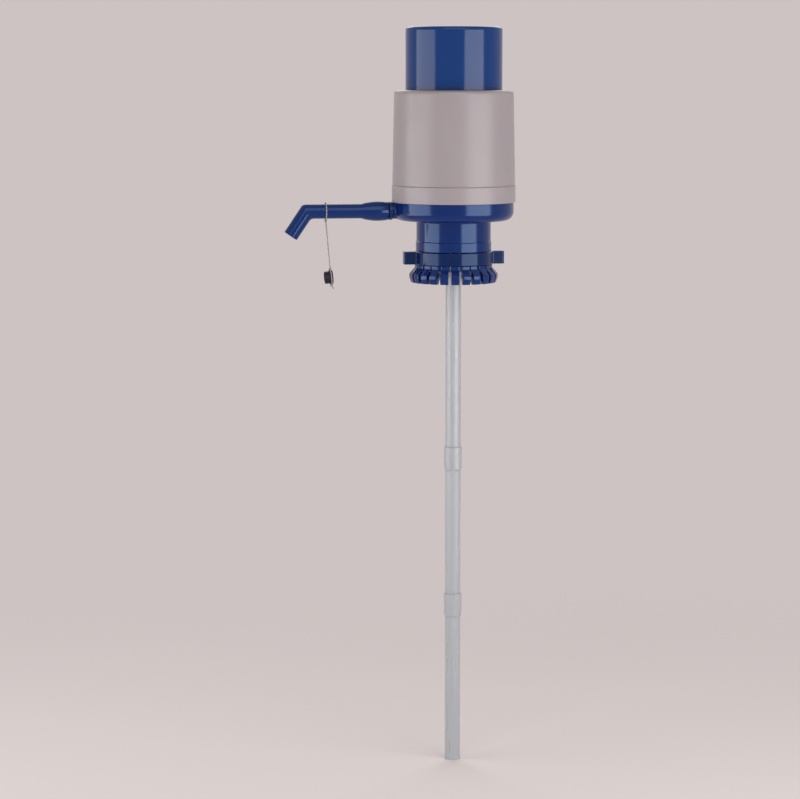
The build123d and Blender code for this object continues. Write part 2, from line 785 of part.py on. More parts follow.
# ---- bellows: flanged necks and folds between deck and top plate ---------------
with BuildPart() as bellows:
    folds_bottom = bellows_bottom + bellows_flange + bellows_lower_neck
    folds_top = bellows_top - bellows_flange - bellows_upper_neck
    fold_pitch = (folds_top - folds_bottom) / bellows_folds
    outside = []
    for fold in range(bellows_folds):
        outside.append((bellows_neck_radius, folds_bottom + fold * fold_pitch))
        outside.append((bellows_peak_radius, folds_bottom + (fold + 0.5) * fold_pitch))
    outside.append((bellows_neck_radius, folds_top))
    inside = [(radius - bellows_wall, z) for radius, z in reversed(outside)]
    with BuildSketch(Plane.XZ):
        with BuildLine():
            Polyline(
                (bellows_neck_radius - bellows_wall, bellows_bottom),
                (clamp_ring_radius, bellows_bottom),
                (clamp_ring_radius, bellows_bottom + bellows_flange),
                (bellows_neck_radius, bellows_bottom + bellows_flange),
                *outside,
                (bellows_neck_radius, bellows_top - bellows_flange),
                (top_ring_radius, bellows_top - bellows_flange),
                (top_ring_radius, bellows_top),
                (bellows_neck_radius - bellows_wall, bellows_top),
                *inside,
                close=True,
            )
        make_face()
    revolve(axis=Axis.Z)
    with BuildSketch(Plane.XY.offset(bellows_bottom)):
        with PolarLocations(clamp_screw_circle, clamp_screw_count, clamp_screw_start):
            Circle(screw_radius + fit_gap)
    extrude(amount=bellows_flange, mode=Mode.SUBTRACT)
    with BuildSketch(Plane.XY.offset(bellows_top)):
        with PolarLocations(plate_screw_circle, plate_screw_count, plate_screw_start):
            Circle(screw_radius + fit_gap)
    extrude(amount=-bellows_flange, mode=Mode.SUBTRACT)
save(bellows, "bellows")

# ---- neck_gasket: lies under the floor; the bottle's rim presses on it ---------
with BuildPart() as neck_gasket:
    with BuildSketch(Plane.XY):
        Circle(claw_bore_radius - running_gap)
        Circle(gasket_bore_radius, mode=Mode.SUBTRACT)
    extrude(amount=gasket_thickness)
save(neck_gasket, "neck_gasket")

# ---- collet: ring in the collar, split stems, shoulder and flared claws --------
with BuildPart() as collet:
    collet_top = floor_bottom - 2 * fit_gap
    stem_ring_bottom = floor_bottom - stem_ring_height
    with BuildSketch(Plane.XZ):
        with BuildLine():
            Polyline(
                (claw_bore_radius, collet_top),
                (claw_stem_radius, collet_top),
                (claw_stem_radius, claw_snap_z + snap_height),
                (claw_stem_radius + snap_depth, claw_snap_z),
                (claw_stem_radius, claw_snap_z - snap_height),
                (claw_stem_radius, claw_band_top),
                (claw_band_radius, claw_band_top),
                (claw_band_radius, claw_band_bottom),
                (claw_bulge_radius, claw_bulge_top),
                (claw_bulge_radius, claw_bulge_bottom),
                (claw_tip_radius, claw_tip_z),
                (claw_mouth_radius, claw_tip_z),
                (claw_bore_radius, claw_slot_top - claw_grip_height),
            )
            ThreePointArc(
                (claw_bore_radius, claw_slot_top - claw_grip_height),
                (claw_bore_radius - claw_grip_depth, claw_grip_z),
                (claw_bore_radius, claw_slot_top),
            )
            Line((claw_bore_radius, claw_slot_top), (claw_bore_radius, collet_top))
        make_face()
    revolve(axis=Axis.Z)
    with BuildSketch(Plane.XY.offset(ring_bottom)):
        with PolarLocations(pad_radius - pad_root / 2, pad_count, pad_angle):
            Rectangle(pad_root, pad_width)
    extrude(amount=pad_height)
    slot_length = 4 * (claw_bulge_radius - claw_bore_radius)
    with BuildSketch(Plane.XY.offset(claw_tip_z)):
        with PolarLocations(claw_bulge_radius, claw_count):
            Rectangle(slot_length, claw_slot_width)
    extrude(amount=claw_slot_top - claw_tip_z, mode=Mode.SUBTRACT)
    with BuildSketch(Plane.XY.offset(claw_slot_top)):
        with PolarLocations(claw_bulge_radius, claw_count):
            Rectangle(slot_length, stem_slot_width)
    extrude(amount=stem_ring_bottom - claw_slot_top, mode=Mode.SUBTRACT)
save(collet, "collet")

# ---- lock_ring: turned by its lugs, its cams press on the collet's pads --------
with BuildPart() as lock_ring:
    cam_offset = ring_bore_radius + cam_depth - cam_circle_radius
    lug_root = (ring_radius + ring_bore_radius + cam_depth) / 2
    lug_length = lug_tip_radius - lug_root
    with BuildSketch(Plane.XY.offset(ring_bottom)):
        Circle(ring_radius)
        with PolarLocations(lug_root + lug_length / 2, 2):
            Rectangle(lug_length, lug_width)
        Circle(ring_bore_radius, mode=Mode.SUBTRACT)
        with PolarLocations(cam_offset, pad_count, pad_angle - cam_lock_angle):
            Circle(cam_circle_radius, mode=Mode.SUBTRACT)
    extrude(amount=ring_height)
    lug_corners = lock_ring.edges().filter_by(Axis.Z).filter_by(
        lambda edge: abs(edge.center().X) > lug_tip_radius - lug_corner)
    fillet(lug_corners, radius=lug_corner)
    for face in (lock_ring.faces().sort_by(Axis.Z)[0], lock_ring.faces().sort_by(Axis.Z)[-1]):
        fillet(face.outer_wire().edges(), radius=ring_edge)
save(lock_ring, "lock_ring")

# ---- riser tubes ----------------------------------------------------------------
middle_tube_top = floor_bottom - upper_tube_length + tube_socket_depth
lower_tube_top = middle_tube_top - middle_tube_length + tube_socket_depth
save(riser_tube(floor_bottom, upper_tube_length, False), "upper_tube")
save(riser_tube(middle_tube_top, middle_tube_length, True), "middle_tube")
save(riser_tube(lower_tube_top, lower_tube_length, True), "lower_tube")

# ---- dust_cap: plug for the spout's tip, hanging on the thread -------------------
lean = math.radians(thread_lean)
thread_loop_radius = spout_radius + fit_gap + thread_radius
plug_loop_radius = plug_head_radius - plug_groove_depth + fit_gap + thread_radius
hang = Vector(math.sin(lean), 0, -math.cos(lean))
plug_axis = Vector(-math.cos(lean), 0, -math.sin(lean))
thread_top = Vector(thread_x, 0, outlet_z - thread_loop_radius)
plug_centre = thread_top + hang * (thread_length + plug_loop_radius)


def plug_plane(along):
    """Plane square to the plug's axis, along it from the middle of its head."""
    return Plane(origin=plug_centre + plug_axis * along, x_dir=(0, 1, 0), z_dir=plug_axis)


with BuildPart() as dust_cap:
    half_head = plug_head_height / 2
    with BuildSketch(plug_plane(-half_head)):
        Circle(plug_head_radius)
    extrude(amount=plug_head_height)
    fillet(dust_cap.edges(), radius=plug_edge)
    with BuildSketch(plug_plane(half_head)):
        Circle(plug_stem_radius)
    extrude(amount=plug_stem_length)
    with BuildSketch(plug_plane(-plug_groove_width / 2)):
        Circle(plug_head_radius + plug_groove_depth)
        Circle(plug_head_radius - plug_groove_depth, mode=Mode.SUBTRACT)
    extrude(amount=plug_groove_width, mode=Mode.SUBTRACT)
    with BuildSketch(plug_plane(half_head + plug_stem_length)):
        Circle(plug_cup_radius)
    extrude(amount=-plug_cup_depth, mode=Mode.SUBTRACT)
save(dust_cap, "dust_cap")

# ---- tether: loop round the spout, straight run, loop round the cap, tail --------
with BuildPart() as tether:
    with BuildSketch(Plane.XZ.shift_origin((thread_x, 0, outlet_z))):
        with Locations((0, thread_loop_radius)):
            Circle(thread_radius)
    revolve(axis=outlet_axis)
    upper_knot = thread_top + hang * knot_radius
    cap_knot = plug_centre - hang * (plug_loop_radius + knot_radius)
    tail_knot = plug_centre + hang * (plug_loop_radius + knot_radius)
    with BuildSketch(Plane(origin=upper_knot, z_dir=hang)):
        Circle(thread_radius)
    extrude(amount=(cap_knot - upper_knot).length)
    with BuildSketch(Plane(origin=plug_centre, x_dir=plug_axis, z_dir=(0, 1, 0))):
        with Locations((0, plug_loop_radius)):
            Circle(thread_radius)
    revolve(axis=Axis(plug_centre, plug_axis))
    with Locations(upper_knot, cap_knot, tail_knot):
        Sphere(knot_radius)
    tail_angle = math.radians(thread_tail_lean)
    tail = Vector(math.sin(tail_angle), 0, -math.cos(tail_angle))
    with BuildSketch(Plane(origin=tail_knot, z_dir=tail)):
        Circle(thread_radius)
    extrude(amount=thread_tail_length)
save(tether, "tether")
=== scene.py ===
"""Looks of a hand pump that stands on the neck of a large water bottle.

Metres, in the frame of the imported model: +Z up, spout towards -X, origin in the
middle of the bottle's rim. The sections follow the pump from its cap downwards.
"""
from math import asin, atan2, cos, pi, radians, sin, sqrt, tan, tau

import bmesh
import bpy
from mathutils import Matrix, Vector


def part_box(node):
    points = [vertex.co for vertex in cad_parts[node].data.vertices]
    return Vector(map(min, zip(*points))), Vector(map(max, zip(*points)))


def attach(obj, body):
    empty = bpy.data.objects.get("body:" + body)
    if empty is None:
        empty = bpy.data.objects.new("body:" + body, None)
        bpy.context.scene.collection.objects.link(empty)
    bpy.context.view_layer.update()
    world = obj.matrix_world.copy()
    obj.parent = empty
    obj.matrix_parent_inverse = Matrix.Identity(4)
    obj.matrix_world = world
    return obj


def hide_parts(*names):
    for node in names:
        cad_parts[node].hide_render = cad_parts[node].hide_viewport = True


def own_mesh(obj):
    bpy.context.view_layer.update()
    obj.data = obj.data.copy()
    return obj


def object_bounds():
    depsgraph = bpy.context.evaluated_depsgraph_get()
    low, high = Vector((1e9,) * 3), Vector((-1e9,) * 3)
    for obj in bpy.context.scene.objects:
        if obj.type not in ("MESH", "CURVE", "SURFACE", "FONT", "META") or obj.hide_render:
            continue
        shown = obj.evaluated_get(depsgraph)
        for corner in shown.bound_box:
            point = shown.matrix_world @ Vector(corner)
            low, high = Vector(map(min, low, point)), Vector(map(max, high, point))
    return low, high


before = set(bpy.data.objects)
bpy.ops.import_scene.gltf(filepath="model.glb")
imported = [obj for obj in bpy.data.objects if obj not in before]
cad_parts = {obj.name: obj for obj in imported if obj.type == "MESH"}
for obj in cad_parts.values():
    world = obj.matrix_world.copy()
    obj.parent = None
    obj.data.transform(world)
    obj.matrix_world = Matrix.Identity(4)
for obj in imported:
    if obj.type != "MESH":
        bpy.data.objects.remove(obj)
cad_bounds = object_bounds()
scene = bpy.context.scene
scene.view_settings.view_transform = "Standard"
MM = 0.001


# ---- Press cap ---------------------------------------------------------------
# The blue cup that the palm pushes down. Injection-moulded polypropylene, polished
# outside, with a stop rim below that keeps it in the case, a soft edge and a slightly
# dished top with the mark of the mould's gate in its middle.
def linear(colour):
    """The linear colour that a shader takes, from an sRGB hex value."""
    channels = [int(colour[i:i + 2], 16) / 255 for i in (1, 3, 5)]
    return [c / 12.92 if c <= 0.04045 else ((c + 0.055) / 1.055) ** 2.4 for c in channels] + [1.0]


def add_node(tree, kind, inputs=None, **settings):
    """Adds a node with its settings; inputs holds values, or sockets to link from."""
    node = tree.nodes.new(kind)
    for name, value in settings.items():
        setattr(node, name, value)
    for socket, value in (inputs or {}).items():
        if isinstance(value, bpy.types.NodeSocket):
            tree.links.new(value, node.inputs[socket])
        else:
            node.inputs[socket].default_value = value
    return node


def new_material(name):
    """An empty node material and its tree, with the object's coordinates."""
    material = bpy.data.materials.new(name)
    material.use_nodes = True
    tree = material.node_tree
    tree.nodes.clear()
    return material, tree, add_node(tree, "ShaderNodeTexCoord").outputs["Object"]


def drawn_out(tree, place, squeeze):
    """Coordinates squeezed along Z, which draw a noise out that way."""
    return add_node(tree, "ShaderNodeMapping", {
        "Vector": place, "Scale": (1, 1, squeeze)}).outputs["Vector"]


def noise(tree, place, width, detail, roughness=0.5):
    """Noise from 0 to 1 whose grains have the width given."""
    return add_node(tree, "ShaderNodeTexNoise", {
        "Vector": place, "Scale": 1 / width, "Detail": detail,
        "Roughness": roughness}).outputs["Fac"]


def spread(tree, value, ends, start=0.0, stop=1.0):
    """A value between start and stop, carried over between two ends."""
    return add_node(tree, "ShaderNodeMapRange", {
        "Value": value, "From Min": start, "From Max": stop,
        "To Min": ends[0], "To Max": ends[1]}).outputs["Result"]


def close_material(tree, mix, colours, inputs, height=None, depth=0.0):
    """Ends a material in a shader with the inputs given, whose colour goes between two
    with the mix, and whose skin rises by the depth with the height."""
    tint = add_node(tree, "ShaderNodeMix", {
        0: mix, 6: linear(colours[0]), 7: linear(colours[1])}, data_type="RGBA")
    shader = add_node(tree, "ShaderNodeBsdfPrincipled", {
        "Base Color": tint.outputs[2], **inputs})
    if height is not None:
        bump = add_node(tree, "ShaderNodeBump", {
            "Height": height, "Strength": 1.0, "Distance": depth})
        tree.links.new(bump.outputs["Normal"], shader.inputs["Normal"])
    add_node(tree, "ShaderNodeOutputMaterial", {"Surface": shader.outputs["BSDF"]})


def moulded_plastic(name, colour, flow_colour, gloss, peel, peel_depth, subsurface=0.0,
                    shine_level=0.5, shine_tint="#ffffff"):
    """Injection-moulded plastic: faint flow marks drawn out along the mould's pull,
    wiping marks that change the gloss between two roughnesses, and orange peel, whose
    grains have the width and depth given."""
    flow_width = 14 * MM
    flow_squeeze = 0.22
    wipe_width = 22 * MM
    material, tree, place = new_material(name)
    flow = noise(tree, drawn_out(tree, place, flow_squeeze), flow_width, 4.0, 0.55)
    wipe = noise(tree, place, wipe_width, 6.0, 0.7)
    close_material(tree, flow, (colour, flow_colour), {
        "Roughness": spread(tree, wipe, gloss, 0.3, 0.7), "IOR": 1.49,
        "Specular IOR Level": shine_level, "Specular Tint": linear(shine_tint),
        "Subsurface Weight": subsurface, "Subsurface Scale": 2 * MM,
    }, noise(tree, place, peel, 2.0), peel_depth)
    return material


def rounded(corners, steps=5, hold=0.5 * MM):
    """Closed outline from (across, up, corner radius). Each corner becomes an arc with
    a point held close on either side, so that smooth shading keeps flats flat."""
    count = len(corners)
    spots = [Vector(corner[:2]) for corner in corners]
    to_next = [spots[(i + 1) % count] - spots[i] for i in range(count)]
    turns = [pi - to_next[i - 1].angle(to_next[i]) for i in range(count)]
    reach = [corners[i][2] / tan(turns[i] / 2) for i in range(count)]
    outline = []
    for i, (spot, (_, _, radius)) in enumerate(zip(spots, corners)):
        back, ahead = -to_next[i - 1].normalized(), to_next[i].normalized()
        free_back = to_next[i - 1].length - reach[i - 1] - reach[i]
        free_ahead = to_next[i].length - reach[i] - reach[(i + 1) % count]
        if free_back > 2.5 * hold:
            outline.append(spot + back * (reach[i] + hold))
        if radius:
            centre = spot + (back + ahead).normalized() * (radius / sin(turns[i] / 2))
            start = spot + back * reach[i] - centre
            swing = start.angle_signed(spot + ahead * reach[i] - centre)
            for step in range(steps + 1):
                outline.append(centre + Matrix.Rotation(-swing * step / steps, 2) @ start)
        else:
            outline.append(spot)
        if free_ahead > 2.5 * hold:
            outline.append(spot + ahead * (reach[i] + hold))
    return outline


def new_object(name, data):
    """A new object in the scene."""
    made = bpy.data.objects.new(name, data)
    scene.collection.objects.link(made)
    return made


def piece(name, shape, material):
    """A shown object made of a finished bmesh, smooth, with one material."""
    mesh = bpy.data.meshes.new(name)
    bmesh.ops.recalc_face_normals(shape, faces=shape.faces)
    shape.to_mesh(mesh)
    shape.free()
    mesh.shade_smooth()
    mesh.materials.append(material)
    return new_object(name, mesh)


def skin_rings(shape, rings):
    """Faces between rings of points, round to the first again; a ring of one is a pole."""
    loops = [[shape.verts.new(point) for point in ring] for ring in rings]
    for loop, following in zip(loops, loops[1:] + loops[:1]):
        for k in range(max(len(loop), len(following))):
            corners = [side[j % len(side)] for side, j in
                       ((loop, k), (loop, k + 1), (following, k + 1), (following, k))]
            corners = list(dict.fromkeys(corners))
            if len(corners) > 2:
                shape.faces.new(corners)


X, Y, Z = Vector((1, 0, 0)), Vector((0, 1, 0)), Vector((0, 0, 1))


def ring_of(centre, across, up, radius, count):
    """Points of a circle round a centre, from one direction towards the other."""
    return [centre + across * (radius * cos(tau * k / count))
            + up * (radius * sin(tau * k / count)) for k in range(count)]


def turned(name, outline, material, place=Matrix(), segments=192):
    """A solid turned about the local Z axis from a closed outline of (radius, height)."""
    rings = [ring_of(Z * height, X, Y, radius, segments if radius > 1e-6 else 1)
             for radius, height in outline]
    shape = bmesh.new()
    skin_rings(shape, [[place @ point for point in ring] for ring in rings])
    return piece(name, shape, material)


# Polished polypropylene: a deep clear blue, with the lamps mirrored in crisp bands
# whose edges waver a little.
cap_blue = moulded_plastic("polypropylene_blue_polished", "#042f69", "#083773",
                           gloss=(0.1, 0.15), peel=2.4 * MM, peel_depth=0.006 * MM,
                           shine_level=0.3)
cap_low, cap_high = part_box("press_cap")
cap_radius = 43.35 * MM
cap_wall = 2.2 * MM
cap_thickness = 2.5 * MM
cap_edge = 3 * MM
stop_height = 2.4 * MM
dish_radius = 36 * MM
dish_depth = 0.8 * MM
gate_radius = 1.8 * MM
gate_depth = 0.3 * MM
dish_bottom = cap_high.z - dish_depth
stop_top = cap_low.z + stop_height
ceiling = cap_high.z - cap_thickness
press_cap = turned("press_cap_shell", rounded([
    (0, dish_bottom - gate_depth, 0),
    (gate_radius, dish_bottom - gate_depth, 0.1 * MM),
    (gate_radius, dish_bottom, 0.1 * MM),
    (dish_radius, dish_bottom, 1.5 * MM),
    (dish_radius + 2 * dish_depth, cap_high.z, 1.5 * MM),
    (cap_radius, cap_high.z, cap_edge),
    (cap_radius, stop_top, 0.3 * MM),
    (cap_high.x, stop_top, 0.4 * MM),
    (cap_high.x, cap_low.z, 0.4 * MM),
    (cap_radius - cap_wall, cap_low.z, 0.5 * MM),
    (cap_radius - cap_wall, ceiling, 1 * MM),
    (0, ceiling, 0),
], steps=8), cap_blue)
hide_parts("press_cap")
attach(press_cap, "cap")

# Geometry nodes that set copies of one piece round the pump's axis.
around = bpy.data.node_groups.new("set round the axis", "GeometryNodeTree")
for label, kind in (("Piece", "Object"), ("Count", "Int"), ("First angle", "Float"),
                    ("Finish", "Material")):
    around.interface.new_socket(label, in_out="INPUT", socket_type=f"NodeSocket{kind}")
around.interface.new_socket("Set", in_out="OUTPUT", socket_type="NodeSocketGeometry")
given = add_node(around, "NodeGroupInput").outputs
spots = add_node(around, "GeometryNodePoints", {"Count": given["Count"]})
step_angle = add_node(around, "ShaderNodeMath", {
    0: tau, 1: given["Count"]}, operation="DIVIDE")
turn = add_node(around, "ShaderNodeMath", {
    0: add_node(around, "GeometryNodeInputIndex").outputs[0], 1: step_angle.outputs[0],
    2: given["First angle"]}, operation="MULTIPLY_ADD")
turned_by = add_node(around, "ShaderNodeCombineXYZ", {"Z": turn.outputs[0]})
one = add_node(around, "GeometryNodeObjectInfo", {"Object": given["Piece"]})
copies = add_node(around, "GeometryNodeInstanceOnPoints", {
    "Points": spots.outputs[0], "Instance": one.outputs["Geometry"],
    "Rotation": turned_by.outputs[0]})
real = add_node(around, "GeometryNodeRealizeInstances", {"Geometry": copies.outputs[0]})
finished = add_node(around, "GeometryNodeSetMaterial", {
    "Geometry": real.outputs[0], "Material": given["Finish"]})
add_node(around, "NodeGroupOutput", {"Set": finished.outputs[0]})


def settle(made):
    """Applies an object's modifiers, so that its own mesh is what shows."""
    graph = bpy.context.evaluated_depsgraph_get()
    mesh = bpy.data.meshes.new_from_object(made.evaluated_get(graph), depsgraph=graph)
    made.modifiers.clear()
    made.data = mesh
    mesh.name = made.name


def set_round(name, one_piece, count, first_angle, material):
    """Copies of a piece round the axis as one plain mesh; the piece itself goes."""
    holder = new_object(name, bpy.data.meshes.new(name))
    modifier = holder.modifiers.new("set round", "NODES")
    modifier.node_group = around
    values = {"Piece": one_piece, "Count": count, "First angle": first_angle, "Finish": material}
    for item in around.interface.items_tree:
        if item.name in values:
            modifier[item.identifier] = values[item.name]
    settle(holder)
    bpy.data.objects.remove(one_piece)
    return holder


# Pillars under the cap's ceiling, into which the top plate is screwed.
pillar_radius = 3.2 * MM
pillar_bore = 1.6 * MM
pillar_length = 8 * MM
pillar_root = 0.2 * MM
plate_circle = 36.2 * MM
pillar = turned("cap_pillar", rounded([
    (pillar_bore, ceiling - pillar_length, 0.2 * MM),
    (pillar_radius, ceiling - pillar_length, 0.3 * MM),
    (pillar_radius, ceiling + pillar_root, 0),
    (pillar_bore, ceiling + pillar_root, 0),
], steps=3), cap_blue, Matrix.Translation((plate_circle, 0, 0)), segments=32)
cap_pillars = set_round("cap_screw_pillars", pillar, 4, radians(45), cap_blue)
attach(cap_pillars, "cap")


# ---- Outer case --------------------------------------------------------------
# The off-white sleeve that hides the bellows and guides the cap. Polypropylene too,
# with a thicker band below set off by a fine groove; it snaps over the base's spigot.

# Off-white polypropylene from a finely blasted mould: a little milky, with broad soft
# lights and no mirror image.
case_white = moulded_plastic("polypropylene_off_white", "#968d90", "#9c9396",
                             gloss=(0.3, 0.38), peel=1.8 * MM, peel_depth=0.006 * MM,
                             subsurface=0.08, shine_level=0.45)
case_low, case_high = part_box("outer_case")
case_top_radius = 53.5 * MM
case_wall = 2.2 * MM
band_top = case_low.z + 15.6 * MM
band_groove = 0.7 * MM
band_step = 0.4 * MM
snap_z = case_low.z + 4.4 * MM
snap_height = 0.8 * MM
snap_depth = 0.4 * MM
guide_radius = 43.95 * MM
guide_wall = 2 * MM
guide_length = 11 * MM
case_side = case_high.x
case_inside = case_side - case_wall
outer_case = turned("outer_case_sleeve", rounded([
    (case_side, case_low.z, 0.5 * MM),
    (case_side, band_top - band_groove, 0.4 * MM),
    (case_side - 1.5 * band_groove, band_top - band_groove, 0.15 * MM),
    (case_side - 1.5 * band_groove, band_top, 0.15 * MM),
    (case_side - band_step, band_top, 0.2 * MM),
    (case_top_radius, case_high.z, 3.5 * MM),
    (guide_radius, case_high.z, 0.8 * MM),
    (guide_radius, case_high.z - guide_length, 0.3 * MM),
    (guide_radius + guide_wall, case_high.z - guide_length, 0.3 * MM),
    (guide_radius + guide_wall, case_high.z - case_wall, 0.5 * MM),
    (case_top_radius - case_wall, case_high.z - case_wall, 1.5 * MM),
    (case_inside, band_top, 1 * MM),
    (case_inside, snap_z + snap_height, 0.1 * MM),
    (case_inside + snap_depth, snap_z, 0.2 * MM),
    (case_inside, snap_z - snap_height, 0.1 * MM),
    (case_inside, case_low.z, 0.3 * MM),
], steps=8), case_white)
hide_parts("outer_case")
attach(outer_case, "pump_body")


# ---- Base --------------------------------------------------------------------
# Dish under the case, collar over the bottle's neck and the boss that lets the outlet
# out, all one moulding of polypropylene. The deck screws down into its pillars.

# Deep blue polypropylene, less polished than the cap: darker, with the lamps' bands
# still clear but softer and bluer.
body_blue = moulded_plastic("polypropylene_deep_blue", "#041f59", "#062561",
                            gloss=(0.12, 0.18), peel=1.8 * MM, peel_depth=0.006 * MM,
                            shine_level=0.5, shine_tint="#bddaff")
base_low, base_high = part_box("base")
collar_bore = 31 * MM
collar_radius = 33.5 * MM
foot_step = 0.5 * MM
foot_top = base_low.z + 8.5 * MM
floor_bottom = 3 * MM
floor_top = 6 * MM
flange_radius = 54 * MM
flange_low = 23.5 * MM
flange_top = case_low.z
flange_corner = 8 * MM
dish_wall = 2.5 * MM
dish_floor = flange_low + dish_wall
spigot_radius = 53.2 * MM
mouth_radius = 6.05 * MM
base = turned("base_moulding", rounded([
    (collar_bore, base_low.z, 0.4 * MM),
    (collar_radius + foot_step, base_low.z, 0.6 * MM),
    (collar_radius + foot_step, foot_top, 0.3 * MM),
    (collar_radius, foot_top + foot_step, 0.3 * MM),
    (collar_radius, flange_low, 2 * MM),
    (flange_radius, flange_low, flange_corner),
    (flange_radius, flange_top, 0.3 * MM),
    (spigot_radius, flange_top, 0.2 * MM),
    (spigot_radius, snap_z - snap_height, 0.1 * MM),
    (spigot_radius + snap_depth, snap_z, 0.2 * MM),
    (spigot_radius, snap_z + snap_height, 0.1 * MM),
    (spigot_radius, base_high.z, 0.4 * MM),
    (spigot_radius - dish_wall, base_high.z, 0.4 * MM),
    (spigot_radius - dish_wall, dish_floor, 5 * MM),
    (collar_bore, dish_floor, 0.5 * MM),
    (collar_bore, floor_top, 1 * MM),
    (mouth_radius, floor_top, 0.2 * MM),
    (mouth_radius, floor_bottom, 0.2 * MM),
    (collar_bore, floor_bottom, 0.5 * MM),
], steps=8), body_blue)
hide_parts("base")
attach(base, "pump_body")

# Boss on the side of the dish: it grows out of the wall with a soft root.
outlet_z = 32.5 * MM
boss_radius = 7.3 * MM
boss_end = -56 * MM
boss_root = 1.6 * MM
boss_sink = 0.05 * MM
boss_rim = 0.5 * MM
boss_bore = 6.3 * MM
boss_depth = 6 * MM
boss_segments = 96
root_steps = 6


def dish_side(z):
    """Outer radius of the dish at a height."""
    below = min(max(0.0, flange_low + flange_corner - z), flange_corner)
    return flange_radius - flange_corner + sqrt(flange_corner ** 2 - below ** 2)


def on_dish(across, up, out):
    """Point of the dish's side at a place seen from the spout, moved out by a distance."""
    return Vector((-sqrt(dish_side(up) ** 2 - across ** 2) - out, across, up))


boss_rings = []
for step in range(root_steps + 1):
    swing = pi / 2 * step / root_steps
    radius = boss_radius + boss_root * (1 - sin(swing))
    out = boss_root * (1 - cos(swing)) - boss_sink
    boss_rings.append([on_dish(point.y, point.z, out) for point in
                       ring_of(Z * outlet_z, Y, Z, radius, boss_segments)])
for radius, inwards in (
    (boss_radius, boss_rim),
    (boss_radius - 0.24 * boss_rim, 0.24 * boss_rim),
    (boss_radius - boss_rim, 0),
    (boss_bore, 0),
    (boss_bore, boss_depth),
    (boss_radius, boss_depth),
):
    boss_rings.append(ring_of(Vector((boss_end + inwards, 0, outlet_z)), Y, Z, radius,
                              boss_segments))
boss_shape = bmesh.new()
skin_rings(boss_shape, boss_rings)
outlet_boss = piece("outlet_boss", boss_shape, body_blue)
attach(outlet_boss, "pump_body")

# Pillars in the dish, into which the deck is screwed.
deck_circle = 46 * MM
deck_bottom = 40.9 * MM
deck_screw_hole = 8 * MM
pillar_foot = dish_floor - 0.5 * MM
pillar = turned("dish_pillar", rounded([
    (0, pillar_foot, 0),
    (pillar_radius, pillar_foot, 0),
    (pillar_radius, deck_bottom, 0.3 * MM),
    (pillar_bore, deck_bottom, 0.2 * MM),
    (pillar_bore, deck_bottom - deck_screw_hole, 0.2 * MM),
    (0, deck_bottom - deck_screw_hole, 0),
], steps=3), body_blue, Matrix.Translation((deck_circle, 0, 0)), segments=32)
dish_pillars = set_round("dish_screw_pillars", pillar, 4, radians(45), body_blue)
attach(dish_pillars, "pump_body")


# ---- Outlet stub -------------------------------------------------------------
# Short tube of the base's blue polypropylene, pushed through the boss from outside; the
# spout turns on its end against an O-ring. Only its collar shows between the two.
stub_low, stub_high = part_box("outlet_stub")
along_outlet = Matrix.Translation((0, 0, outlet_z)) @ Matrix.Rotation(-pi / 2, 4, "Y")
stub_radius = 6.2 * MM
stub_bore = 4.2 * MM
collar_length = 3 * MM
spigot_turn_radius = 6.4 * MM
ring_setback = 6 * MM
ring_section = 0.72 * MM
groove_half = 1.1 * MM
ring_clearance = 0.05 * MM
groove_radius = spigot_turn_radius + ring_clearance - 2 * ring_section
stub_end = -stub_low.x
groove_start = stub_end - ring_setback - groove_half
groove_end = stub_end - ring_setback + groove_half
collar_start = -boss_end
collar_end = collar_start + collar_length
outlet_stub = turned("outlet_stub_tube", rounded([
    (stub_bore, -stub_high.x, 0.2 * MM),
    (stub_radius, -stub_high.x, 0.3 * MM),
    (stub_radius, collar_start, 0.1 * MM),
    (stub_high.y, collar_start, 0.5 * MM),
    (stub_high.y, collar_end, 0.5 * MM),
    (spigot_turn_radius, collar_end, 0.1 * MM),
    (spigot_turn_radius, groove_start, 0.1 * MM),
    (groove_radius, groove_start, 0.1 * MM),
    (groove_radius, groove_end, 0.1 * MM),
    (spigot_turn_radius, groove_end, 0.1 * MM),
    (spigot_turn_radius, stub_end, 0.8 * MM),
    (stub_bore, stub_end, 0.3 * MM),
], steps=4), body_blue, along_outlet, segments=96)
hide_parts("outlet_stub")
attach(outlet_stub, "pump_body")


# ---- Spout -------------------------------------------------------------------
# Detachable arm: a swollen socket that snaps over the stub, a straight tube and a tip
# turned down towards the cup, moulded in one of the base's blue, with a sharp elbow.
spout_radius = 6.65 * MM
spout_bore = 5.2 * MM
spout_start = 59.3 * MM
swell_length = 19.5 * MM
swell_rise = 1 * MM
swell_taper = 6 * MM
socket_end_radius = 8 * MM
socket_bore = 6.5 * MM
socket_floor = stub_end + 0.3 * MM
elbow_x = 132.8 * MM
elbow_radius = 5 * MM
elbow_room = 12 * MM
tip_length = 26.4 * MM
tip_drop = radians(56)
mouth_seat = 5.65 * MM
seat_depth = 6 * MM
rim_round = 0.4 * MM
spout_segments = 72

tip_way = Vector((-cos(tip_drop), 0, -sin(tip_drop)))
tip_up = Vector((-sin(tip_drop), 0, cos(tip_drop)))
elbow = Vector((-elbow_x, 0, outlet_z))


def arm_ring(along, radius):
    return ring_of(Vector((-along, 0, outlet_z)), Z, Y, radius, spout_segments)


def tip_ring(along, radius):
    return ring_of(elbow + tip_way * along, tip_up, Y, radius, spout_segments)


def elbow_rings(radius, steps=7):
    """Rings round the elbow: every line along the tube turns there with one radius."""
    outward = (Z + tip_up).normalized() / cos(tip_drop / 2)
    rings = []
    for step in range(steps + 1):
        way = Matrix.Rotation(-tip_drop * step / steps, 3, "Y") @ Z
        rings.append(ring_of(elbow - outward * elbow_radius + way * elbow_radius, outward, Y,
                             radius, spout_segments))
    return rings


